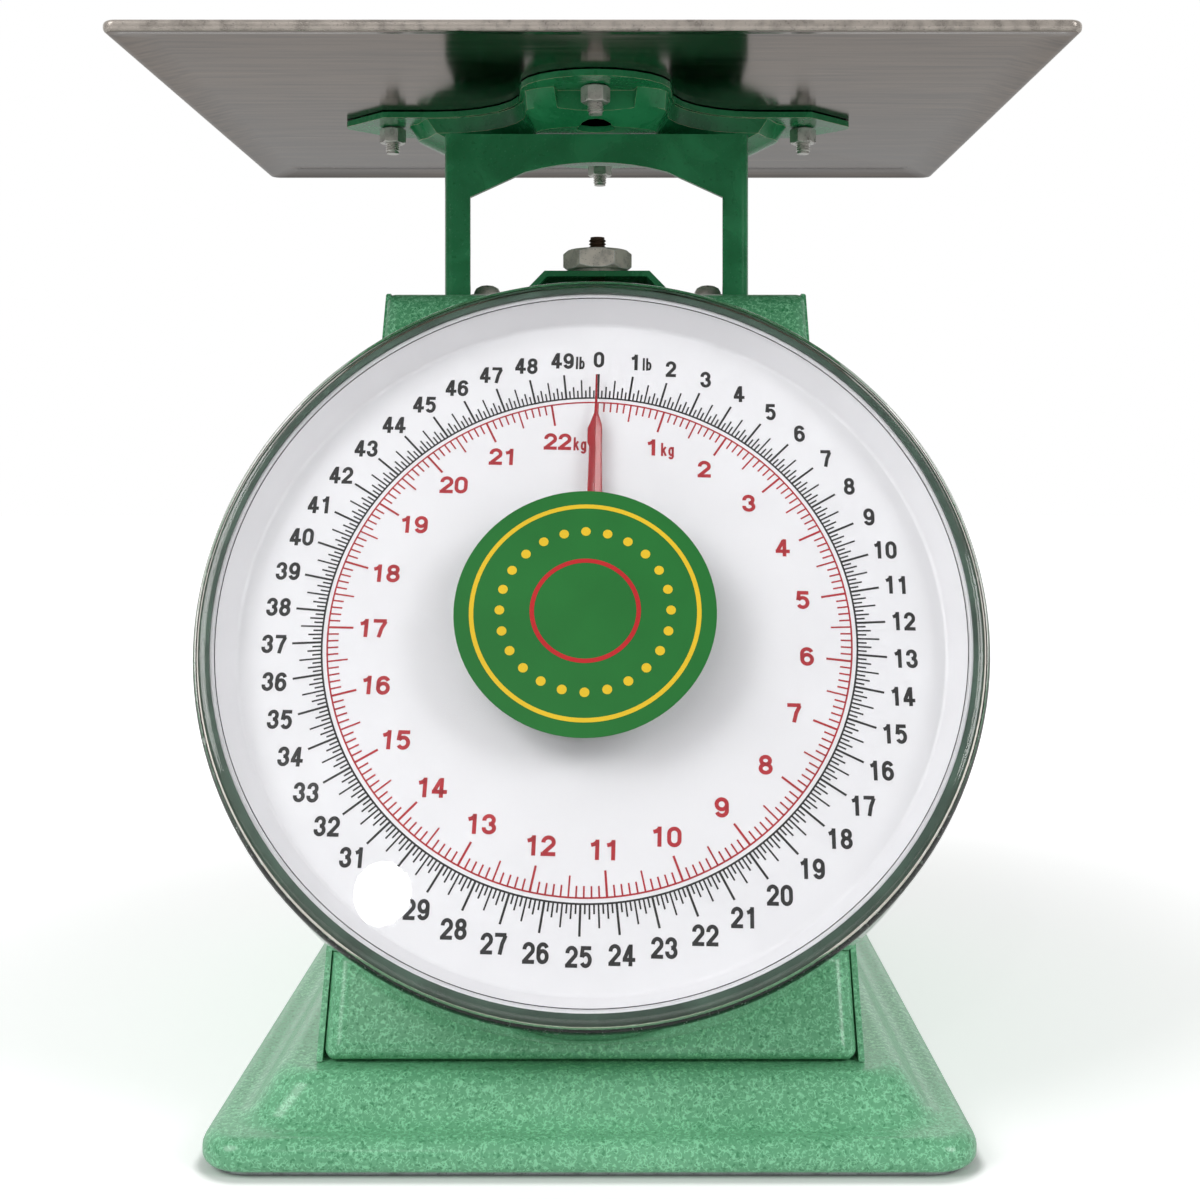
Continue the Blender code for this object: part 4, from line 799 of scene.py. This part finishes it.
class SCALE_OT_tray(ScaleOperator):
    """Make the stainless tray with its folded hem"""
    bl_idname = "dial_scale.tray"
    bl_label = "Tray"

    def make(self, scene):
        m = scene.scale_metal
        low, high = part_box("tray")
        bm = bmesh.new()
        steps = ((0, high.z), (0, low.z), (m.tray_hem, low.z),
                 (m.tray_hem + m.tray_fall, high.z - m.tray_sheet))
        rings = loft(bm, [rounded_outline(low, high, inset, m.tray_corner, height)
                          for inset, height in steps])
        bevel(bm, rings[0] + rings[1], m.tray_round, 5)
        bm.normal_update()
        # The underside takes the darkened steel (painted shade), the hem's sides the brightened hem
        # metal (painted highlight), the top the lighter steel.
        for face in bm.faces:
            face.material_index = 1 if abs(face.normal.z) < 0.9 else 2 if face.normal.z > 0 else 0
        placed("tray_sheet", bm, "tray", "platform", ["tray"], weighted=True,
               others=["tray_rim", "tray_top"])


class SCALE_OT_bracket(ScaleOperator):
    """Make the dished bracket under the tray"""
    bl_idname = "dial_scale.bracket"
    bl_label = "Tray bracket"

    def make(self, scene):
        rubbed_pressing("tray_bracket", 25, scene.scale_metal.soft_edge, 3)


class SCALE_OT_studs(ScaleOperator):
    """Make the threaded studs and hexagon nuts that hold the tray"""
    bl_idname = "dial_scale.studs"
    bl_label = "Studs and nuts"

    def make(self, scene):
        m = scene.scale_metal
        for place in ("front", "rear", "left", "right"):
            low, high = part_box(f"stud_{place}")
            middle = (low + high) / 2
            bm = threaded(low.z, high.z, (high.x - low.x) / 2, m.stud_pitch)
            placed(f"stud_thread_{place}", bm, "bright_steel", "platform", [f"stud_{place}"],
                   Matrix.Translation((middle.x, middle.y, 0)))
            bm = cad_copy(f"nut_{place}")
            bevel(bm, sharp(bm, 20), m.nut_edge, 2)
            placed(f"hex_nut_{place}", bm, "bright_steel", "platform", [f"nut_{place}"],
                   weighted=True)


class SCALE_OT_yoke(ScaleOperator):
    """Make the yoke that carries the tray"""
    bl_idname = "dial_scale.yoke"
    bl_label = "Yoke"

    def make(self, scene):
        rubbed_pressing("yoke", 30, scene.scale_metal.yoke_edge, 4)


# Stand

class SCALE_OT_base(ScaleOperator):
    """Make the pressed base pan"""
    bl_idname = "dial_scale.base"
    bl_label = "Base pan"

    def make(self, scene):
        m = scene.scale_metal
        low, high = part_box("base_pan")
        top, sheet = high.z - low.z, m.base_sheet
        shoulder = m.base_ledge + m.base_slope
        outside = [(shoulder, top), (m.base_ledge, m.base_lip), (0, m.base_lip), (0, m.base_gap)]
        inside = [(m.base_seat, m.base_gap), (m.base_seat, m.base_lip - sheet),
                  (m.base_ledge + sheet, m.base_lip - sheet), (shoulder + sheet, top - sheet)]
        bm = bmesh.new()
        rings = loft(bm, [rounded_outline(low, high, inset,
                                          max(m.base_corner - inset, m.base_corner_least), rise)
                          for inset, rise in outside + inside])
        rounds = m.base_crease, m.base_crease, m.base_lip_round, m.base_turn
        for edges, width in zip(rings, rounds):
            bevel(bm, edges, width, 6)
        placed("base_pressing", bm, "light_green", "stand", ["base_pan"],
               weighted=True)


class SCALE_OT_housing(ScaleOperator):
    """Make the housing shell and the front panel"""
    bl_idname = "dial_scale.housing"
    bl_label = "Housing and panel"

    def make(self, scene):
        m = scene.scale_metal
        bm = cad_copy("housing_shell")
        low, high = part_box("housing_shell")
        back = DIAL.inverted()
        for vert in bm.verts:
            if (back @ vert.co).z > -m.house_set / 2:
                vert.co.y += m.house_set
            share = (vert.co.z - low.z) / (high.z - low.z)
            vert.co.x *= 1 + (m.house_spread * (1 - share) - m.house_pinch * share) / high.x
        bevel(bm, sharp(bm, 40), m.soft_edge, 3)
        placed("housing_pressing", bm, "light_green", "stand", ["housing_shell"],
               weighted=True)
        self.make_panel(m)

    def make_panel(self, m):
        """A shallow pan with round edges, its top and bottom level though its face leans."""
        lean = OUTWARD.z / OUTWARD.y
        back = DIAL.inverted()
        corners = [back @ v.co for v in frame["nodes"]["front_panel"].data.vertices]
        depth = min(v.z for v in corners)
        rises = [v.y - lean * v.z for v in corners]
        wide = max(v.x for v in corners) + m.panel_spread
        low, high = Vector((-wide, min(rises), 0)), Vector((wide, max(rises), 0))
        steps = 7

        def wall(offset):
            """Outlines from the front face back to the pan's rim, one sheet in or not."""
            radius = m.panel_round - offset
            turns = [step / steps * HALF_TURN / 2 for step in range(steps + 1)]
            arc = [(m.panel_round - radius * math.sin(t), radius * math.cos(t) - m.panel_round)
                   for t in turns]
            return [rounded_outline(low, high, inset, max(m.panel_corner - inset, m.panel_corner * 0.4),
                                    height) for inset, height in arc + [(offset, depth)]]

        bm = bmesh.new()
        loft(bm, wall(0) + wall(m.panel_sheet)[::-1])
        slope = Matrix.Identity(4)
        slope[1][2] = lean
        for vert in bm.verts:
            share = (high.y - vert.co.y) / (high.y - low.y)
            vert.co.x *= 1 + m.house_spread * share / wide
        placed("panel_pressing", bm, "light_green", "stand", ["front_panel"],
               DIAL @ slope, weighted=True)


class SCALE_OT_zero_adjuster(ScaleOperator):
    """Make the zero nut, its threaded rod, the bridge and the bridge's screws"""
    bl_idname = "dial_scale.zero_adjuster"
    bl_label = "Zero adjuster"

    def make(self, scene):
        m = scene.scale_metal
        bm = cad_copy("zero_bridge")
        bevel(bm, sharp(bm, 30), m.soft_edge, 3)
        self.add_bridge_wall(bm)
        placed("bridge_strap", bm, "dark_green", "stand", ["zero_bridge"],
               weighted=True)
        # The nut's near-white grey is painted light under the tray.
        bm = cad_copy("zero_nut")
        for face in bevel(bm, sharp(bm, 20), m.nut_edge, 2):
            face.material_index = 1
        placed("zero_nut_hex", bm, "grey_steel", "zero_nut", ["zero_nut"], weighted=True,
               others=["grey_edge"])
        self.make_rod(m)
        for side in ("left", "right"):
            self.make_screw(m, side)

    def add_bridge_wall(self, bm):
        """Closes the back of the bridge's arch with a wall that keeps off the housing."""
        low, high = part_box("zero_bridge")
        arch = [v.co for v in frame["nodes"]["zero_bridge"].data.vertices]
        foot = max(abs(v.x) for v in arch if v.z < low.z + 1e-5 and abs(v.x) < high.x * 0.6)
        crown = min(v.z for v in arch if abs(v.x) < foot * 0.7)
        top = max(abs(v.x) for v in arch if abs(v.z - crown) < 1e-5)
        sheet = high.z - crown
        outline = ((-foot, low.z), (foot, low.z), (top, crown), (-top, crown))
        loft(bm, [[(x, y, z) for x, z in outline] for y in (high.y - sheet, high.y)])

    def make_rod(self, m):
        low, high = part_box("zero_rod")
        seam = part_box("housing_shell")[1].z
        bm = cad_copy("zero_rod")
        cut(bm, (0, 0, seam), (0, 0, 1), clear_outer=True)
        bmesh.ops.holes_fill(bm, edges=[e for e in bm.edges if e.is_boundary])
        thread = threaded(seam, high.z, m.rod_radius, m.rod_pitch)
        thread.transform(Matrix.Translation((0, LOAD_Y, 0)))
        mesh = meshed("thread", thread)
        bm.from_mesh(mesh)
        bpy.data.meshes.remove(mesh)
        placed("zero_rod_thread", bm, "black_steel", "zero_rod", ["zero_rod"])

    def make_screw(self, m, side):
        node = f"bridge_screw_{side}"
        low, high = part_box(node)
        middle = (low + high) / 2
        washer = high.z - m.screw_rise
        shank = m.screw_head * 0.6
        dome = ((0, 0), (0.5, 0.1), (0.82, 0.34), (0.97, 0.7), (1, 1))
        points = [(m.screw_head * reach, high.z - m.screw_rise * fall) for reach, fall in dome]
        points += [(m.washer, washer), (m.washer, washer - m.washer_sheet),
                   (shank, washer - m.washer_sheet), (shank, low.z), (0, low.z)]
        bm = turned(points, 32)
        self.cut_cross(bm, m, high.z - m.screw_rise * 0.5)
        placed(f"pan_screw_{side}", bm, "screw_steel", "stand", [node],
               Matrix.Translation((middle.x, middle.y, 0)))

    def cut_cross(self, bm, m, above):
        """Sinks a cross into the screw's dome."""
        half, reach = m.screw_slot / 2, m.screw_head * 0.55
        for axis in ((1, 0, 0), (0, 1, 0)):
            for side in (-half, half):
                cut(bm, Vector(axis) * side, axis)
        faces = []
        for face in bm.faces:
            x, y, z = (abs(v) for v in face.calc_center_median())
            if z > above and min(x, y) < half and max(x, y) < reach:
                faces.append(face)
        push(bm, faces, -m.screw_rise * 0.35)


# Dial

def bow(x, y, wide, tall, start, end):
    """Points along part of an ellipse, between two angles in degrees."""
    steps = max(2, round(abs(end - start) / 18))
    angles = [math.radians(start + (end - start) * step / steps) for step in range(steps + 1)]
    return [(x + wide * math.cos(a), y + tall * math.sin(a)) for a in angles]


# Middle lines of the figures' strokes, as shares of a figure's width and height
GLYPHS = {
    "0": [bow(0.5, 0.7, 0.5, 0.3, 0, 180) + bow(0.5, 0.3, 0.5, 0.3, 180, 360) + [(1, 0.7)]],
    "1": [[(0.02, 0.78), (0.34, 0.83), (0.66, 1.0)], [(0.62, 1.11), (0.62, -0.11)]],
    "2": [bow(0.5, 0.71, 0.5, 0.29, 185, -30) + [(0.06, 0.06)], [(-0.22, 0), (1.2, 0)]],
    "3": [bow(0.47, 0.75, 0.46, 0.25, 190, -90), bow(0.5, 0.26, 0.5, 0.26, 90, -190)],
    "4": [[(0.7, 1.11), (0.7, -0.11)], [(0.6, 1.02), (-0.02, 0.27)], [(-0.22, 0.25), (1.26, 0.25)]],
    "5": [[(1.12, 1), (0.13, 1), (0.03, 0.48)], bow(0.5, 0.33, 0.5, 0.33, 150, -150)],
    "6": [bow(0.5, 0.31, 0.5, 0.31, 0, 360), bow(0.5, 0.7, 0.5, 0.3, 20, 180) + [(0, 0.31)]],
    "7": [[(-0.22, 1), (1.12, 1)], [(1.04, 0.97), (0.66, 0.5), (0.42, -0.11)]],
    "8": [bow(0.5, 0.765, 0.44, 0.235, 0, 360), bow(0.5, 0.265, 0.5, 0.265, 0, 360)],
    "l": [[(0, 1.1), (0, -0.1)]],
    "b": [[(0, 1.1), (0, -0.1)], bow(0.5, 0.33, 0.5, 0.33, 0, 360)],
    "k": [[(0, 1.1), (0, -0.1)], [(1, 0.74), (0.05, 0.28)], [(0.36, 0.45), (1.1, -0.08)]],
    "g": [bow(0.5, 0.33, 0.5, 0.33, 0, 360), [(1, 0.74), (1, -0.1)] + bow(0.5, -0.1, 0.5, 0.2, 0, -160)],
}
GLYPHS["9"] = [[(1 - x, 1 - y) for x, y in path] for path in GLYPHS["6"]]


def printed(d):
    """Where the print lies on the dial, a little off its axis."""
    return (DIAL @ Matrix.Translation((d.print_shift, -d.print_drop, 0))
            @ Matrix.Rotation(-d.print_turn, 4, "Z"))


class SCALE_OT_dial_can(ScaleOperator):
    """Make the can behind the dial"""
    bl_idname = "dial_scale.dial_can"
    bl_label = "Dial can"

    def make(self, scene):
        d = scene.scale_dial
        back = d.can_back
        lip = d.can_radius - d.can_lip
        inside = d.can_radius - d.can_sheet
        bm = turned([(d.can_hole, back), (d.can_radius, back), (d.can_radius, d.can_front),
                     (lip, d.can_front), (lip, d.can_front - d.can_sheet),
                     (inside, d.can_front - d.can_sheet), (inside, back + d.can_sheet),
                     (d.can_hole, back + d.can_sheet)], d.steps)
        round_circle(bm, d.can_radius, d.can_front, d.can_round, 4)
        # Painted shade: the lip takes a darker copy of the can's paint.
        for face in bm.faces:
            if face.calc_center_median().z > d.can_front - d.can_sheet * 2:
                face.material_index = 1
        placed("can_pressing", bm, "light_green", "stand", ["dial_can"], DIAL,
               weighted=True, others=["can_green"])


class SCALE_OT_dial_plate(ScaleOperator):
    """Make the white dial plate with its coned rim, and a thin dark line printed as painted shade at the
    cone's top
    """
    bl_idname = "dial_scale.dial_plate"
    bl_label = "Dial plate"

    def make(self, scene):
        d = scene.scale_dial
        lean = d.sheet * 0.6
        bm = turned([(d.hub_hole, d.face), (d.face_radius, d.face), (d.cone_radius, d.rim_front),
                     (d.rim_radius, d.rim_front), (d.rim_radius, d.rim_front - d.sheet),
                     (d.cone_radius + lean, d.rim_front - d.sheet),
                     (d.face_radius + lean, d.face - d.sheet), (d.hub_hole, d.face - d.sheet)], d.steps)
        round_circle(bm, d.face_radius, d.face, d.face_round, 4)
        round_circle(bm, d.cone_radius, d.rim_front, d.rim_round, 3)
        placed("dial_face", bm, "enamel", "stand", ["dial_plate"], DIAL, weighted=True)
        # Painted shade: a thin dark line printed round the cone's top edge.
        bm = ring(d.rim_line, d.ink * 4, d.rim_front - d.ink, d.rim_front + d.ink, d.steps)
        placed("dial_rim_line", bm, "black_ink", "stand", place=DIAL)


class SCALE_OT_dial_marks(ScaleOperator):
    """Print the two scales' lines and rings on the dial"""
    bl_idname = "dial_scale.dial_marks"
    bl_label = "Scale marks"

    def make(self, scene):
        d = scene.scale_dial
        quarter = d.quarter_pound_tick
        self.marks(d, "black", d.ring_line, 8, d.pounds * 8, d.pounds,
                   {0: d.pound_tick, 2: quarter, 4: d.half_pound_tick, 6: quarter}, d.eighth_pound_tick)
        self.marks(d, "red", d.minor_line, 10, d.kilograms * 10 + 1, d.pounds * KILOGRAMS_PER_POUND,
                   {0: -d.kilogram_tick, 5: -d.half_kilogram_tick}, -d.tenth_kilogram_tick)

    def marks(self, d, ink, line, parts, total, turn, reaches, least):
        """Prints a ring, and lines that reach out from it or, where below zero, into it."""
        radius, top = getattr(d, f"{ink}_ring"), d.face + d.ink
        bm = ring(radius, line, d.face, top, d.steps)
        for mark in range(total):
            inner, outer = sorted((radius, radius + reaches.get(mark % parts, least)))
            width = d.zero_line if mark == 0 else d.minor_line if mark % parts else d.major_line
            verts = block(bm, (-width / 2, inner, d.face), (width / 2, outer, top))
            bmesh.ops.rotate(bm, verts=verts, cent=(0, 0, 0),
                             matrix=Matrix.Rotation(-mark / parts / turn * FULL_TURN, 3, "Z"))
        placed(f"{ink}_scale", bm, f"{ink}_ink", "stand", place=printed(d))


class SCALE_OT_dial_numbers(ScaleOperator):
    """Print the numbers and unit marks of both scales"""
    bl_idname = "dial_scale.dial_numbers"
    bl_label = "Scale numbers"

    def make(self, scene):
        d = scene.scale_dial
        scales = (("black", "lb", range(d.pounds), d.pounds),
                  ("red", "kg", range(1, d.kilograms + 1), d.pounds * KILOGRAMS_PER_POUND))
        for ink, unit, numbers, turn in scales:
            sizes = [getattr(d, f"{ink}_{what}") for what in ("numbers", "wide", "stroke")]
            bm = bmesh.new()
            for number in numbers:
                mark = unit if number in (1, numbers[-1]) else ""
                self.number(bm, d, f"{number}", mark, number / turn, *sizes)
            push(bm, bm.faces[:], d.ink)
            faced(bm)
            placed(f"{ink}_numbers", bm, f"{ink}_ink", "stand", place=printed(d))

    def number(self, bm, d, figures, unit, share, radius, wide, stroke):
        """Sets one number upright at its place on the circle, with its unit mark beside it."""
        angle = share * FULL_TURN
        spot = Vector((radius * math.sin(angle), radius * math.cos(angle), d.face))
        span = len(figures) * (wide + d.figure_gap) - d.figure_gap
        low = spot - Vector((span / 2, d.number_height / 2, 0))
        for place, figure in enumerate(figures):
            self.glyph(bm, figure, low + Vector((place * (wide + d.figure_gap), 0, 0)), wide,
                       d.number_height, stroke)
        low = low + Vector((span + d.figure_gap * 1.6, 0, 0))
        for letter in unit:
            self.glyph(bm, letter, low, d.unit_wide, d.unit_height, d.unit_stroke)
            low = low + Vector((d.unit_wide * (0.62 if letter == "l" else 1.3), 0, 0))

    def glyph(self, bm, name, low, wide, tall, stroke):
        """Draws a figure or letter inside a box, its strokes kept within the box's edges."""
        corner = low + Vector((stroke / 2, stroke / 2, 0))
        for path in GLYPHS[name]:
            self.stroke(bm, [corner + Vector((x * (wide - stroke), y * (tall - stroke), 0))
                             for x, y in path], stroke)

    def stroke(self, bm, points, width):
        """Draws a stroke: a short edge across its start is extruded from point to point."""
        steps = [end - start for start, end in zip(points, points[1:])]
        if (points[0] - points[-1]).length < 1e-9:
            steps = [steps[-1], *steps, steps[0]]
        else:
            steps = [steps[0], *steps, steps[-1]]
        edge = None
        for here, before, after in zip(points, steps, steps[1:]):
            before = before.normalized()
            along = (before + after.normalized()).normalized()
            half = Vector((-along.y, along.x, 0)) * (width / 2 / max(0.7, along.dot(before)))
            if edge is None:
                edge = bm.edges.new([bm.verts.new(here + half), bm.verts.new(here - half)])
                left = edge.verts[0].co.copy()
                continue
            ends = fresh(bmesh.ops.extrude_edge_only(bm, edges=[edge]))
            edge = bm.edges.get(ends)
            ends.sort(key=lambda v: (v.co - left).length)
            ends[0].co, ends[1].co = here + half, here - half
            left = ends[0].co.copy()


# The pointer from tail to tip: distance from the axis, reach to the left and right, rise of its edges
POINTER_ROWS = (
    (-0.024, 0.0024, 0.0024, 0.0), (-0.0075, 0.0030, 0.0030, 0.0), (0.0075, 0.0030, 0.0030, 0.0),
    (0.012, 0.0028, 0.0028, 0.0008), (0.040, 0.0018, 0.0019, 0.0010), (0.0542, 0.0015, 0.0016, 0.0010),
    (0.0552, 0.0020, 0.0016, 0.0010), (0.0572, 0.0021, 0.0016, 0.0010), (0.0598, 0.0021, 0.0016, 0.0010),
    (0.0614, 0.0015, 0.0015, 0.0008), (0.0634, 0.0009, 0.0010, 0.0005), (0.0652, 0.0004, 0.0005, 0.0002),
    (0.068, 0.00036, 0.00036, 0.0), (0.078, 0.00026, 0.00026, 0.0),
)


class SCALE_OT_pointer(ScaleOperator):
    """Make the folded red pointer and its hub"""
    bl_idname = "dial_scale.pointer"
    bl_label = "Pointer"

    def make(self, scene):
        d = scene.scale_dial
        bm = bmesh.new()
        rows = POINTER_ROWS
        bmesh.ops.create_grid(bm, x_segments=2, y_segments=len(rows) - 1, size=1)
        for vert in bm.verts:
            rise, left, right, fold = rows[round((vert.co.y + 1) / 2 * (len(rows) - 1))]
            side = round(vert.co.x)
            across = {-1: -left, 0: (right - left) * 0.15, 1: right}[side]
            vert.co = (across, rise, d.pointer_foot + d.pointer_sheet + fold * abs(side))
        faced(bm)
        bmesh.ops.solidify(bm, geom=bm.faces[:], thickness=d.pointer_sheet)
        faced(bm)
        bevel(bm, sharp(bm, 50), d.pointer_sheet * 0.2, 2)
        middle = (d.pointer_bore + d.pointer_hub) / 2
        ring(middle, d.pointer_hub - d.pointer_bore, d.pointer_foot, d.pointer_foot + d.pointer_sheet,
             d.hub_steps, bm)
        placed("pointer_blade", bm, "pointer_red", "pointer", ["pointer"],
               DIAL @ Matrix.Rotation(-d.pointer_turn, 4, "Z"))


class SCALE_OT_cover(ScaleOperator):
    """Make the clear cover over the dial"""
    bl_idname = "dial_scale.cover"
    bl_label = "Clear cover"

    def make(self, scene):
        d = scene.scale_dial
        inner, under = d.cover_radius - d.cover_wall, d.cover_front - d.cover_wall
        bm = turned([(0, d.cover_front), (d.cover_radius, d.cover_front), (d.cover_radius, d.cover_back),
                     (inner, d.cover_back), (inner, under), (0, under)], d.steps)
        round_circle(bm, d.cover_radius, d.cover_front, d.cover_round, 8)
        round_circle(bm, inner, under, d.cover_round - d.cover_wall, 6)
        bevel(bm, sharp(bm, 60), d.cover_soft, 2)
        placed("cover_moulding", bm, "clear", "stand", ["clear_cover"], DIAL, crease=40,
               weighted=True)


class SCALE_OT_label(ScaleOperator):
    """Make the plain round label on the cover"""
    bl_idname = "dial_scale.label"
    bl_label = "Round label"

    def make(self, scene):
        d = scene.scale_dial
        middle = DIAL @ Matrix.Translation((d.label_shift, d.label_rise, d.cover_front))
        foot, step = d.label_sheet * 0.2, d.label_sheet
        bm = turned([(0, foot + step), (d.label_radius, foot + step), (d.label_radius, foot), (0, foot)],
                    d.label_steps)
        round_circle(bm, d.label_radius, foot + step, step * 0.5, 2)
        placed("label_disc", bm, "label_green", "stand", place=middle, weighted=True)

        low, high = foot + step, foot + step + d.ink
        bm = ring(d.label_ring, d.label_line, low, high, d.label_steps)
        for dot in range(d.label_dots):
            angle = dot / d.label_dots * FULL_TURN
            spot = Matrix.Rotation(angle, 4, "Z") @ Vector((0, d.label_dot_ring, (low + high) / 2))
            bmesh.ops.create_cone(bm, segments=16, cap_ends=True, radius1=d.label_dot,
                                  radius2=d.label_dot, depth=high - low, matrix=Matrix.Translation(spot))
        placed("label_ring", bm, "label_yellow", "stand", place=middle)
        bm = ring(d.label_inner, d.label_line, low, high, d.label_steps)
        placed("label_inner_ring", bm, "label_red", "stand", place=middle)


class SCALE_OT_works(ScaleOperator):
    """Finish the works inside the housing and the bottom plate"""
    bl_idname = "dial_scale.works"
    bl_label = "Works"

    def make(self, scene):
        made = {"steel": "bright_steel", "zinc_steel": "zinc", "dark_steel": "black_steel",
                "brass": "brass", "stainless": "tray", "red_paint": "pointer_red",
                "green_paint": "light_green", "dark_green_paint": "dark_green"}
        for node in frame["nodes"].values():
            if node.hide_render:
                continue
            for held in node.material_slots:
                slot = held.material.name.split(".")[0]
                if slot not in made:
                    raise RuntimeError(f"{node.name} has no finish for {slot}")
                held.material = FINISHES[made[slot]]


OPERATORS = (
    SCALE_OT_stage, SCALE_OT_base, SCALE_OT_housing, SCALE_OT_zero_adjuster, SCALE_OT_yoke,
    SCALE_OT_bracket, SCALE_OT_studs, SCALE_OT_tray, SCALE_OT_dial_can, SCALE_OT_dial_plate,
    SCALE_OT_dial_marks, SCALE_OT_dial_numbers, SCALE_OT_pointer, SCALE_OT_cover, SCALE_OT_label,
    SCALE_OT_works,
)


class SCALE_PT_pieces(Panel):
    """Sidebar list of the scale's pieces"""
    bl_label = "Dial platform scale"
    bl_space_type = "VIEW_3D"
    bl_region_type = "UI"
    bl_category = "Scale"

    def draw(self, context):
        for operator in OPERATORS:
            self.layout.operator(operator.bl_idname)


GROUPS = {"scale_colours": ScaleColours, "scale_dial": DialSizes, "scale_metal": MetalSizes,
          "scale_stage": StageSizes}


def register():
    for group in GROUPS.values():
        bpy.utils.register_class(group)
    for name, group in GROUPS.items():
        setattr(bpy.types.Scene, name, PointerProperty(type=group))
    for kind in (*OPERATORS, SCALE_PT_pieces):
        bpy.utils.register_class(kind)


def unregister():
    for kind in (SCALE_PT_pieces, *reversed(OPERATORS)):
        bpy.utils.unregister_class(kind)
    for name in GROUPS:
        delattr(bpy.types.Scene, name)
    for group in reversed(list(GROUPS.values())):
        bpy.utils.unregister_class(group)


def main():
    register()
    scene = bpy.context.scene
    make_finishes(scene.scale_colours, scene.scale_dial)
    for operator in OPERATORS:
        group, name = operator.bl_idname.split(".")
        getattr(getattr(bpy.ops, group), name)()


if __name__ == "__main__":
    main()
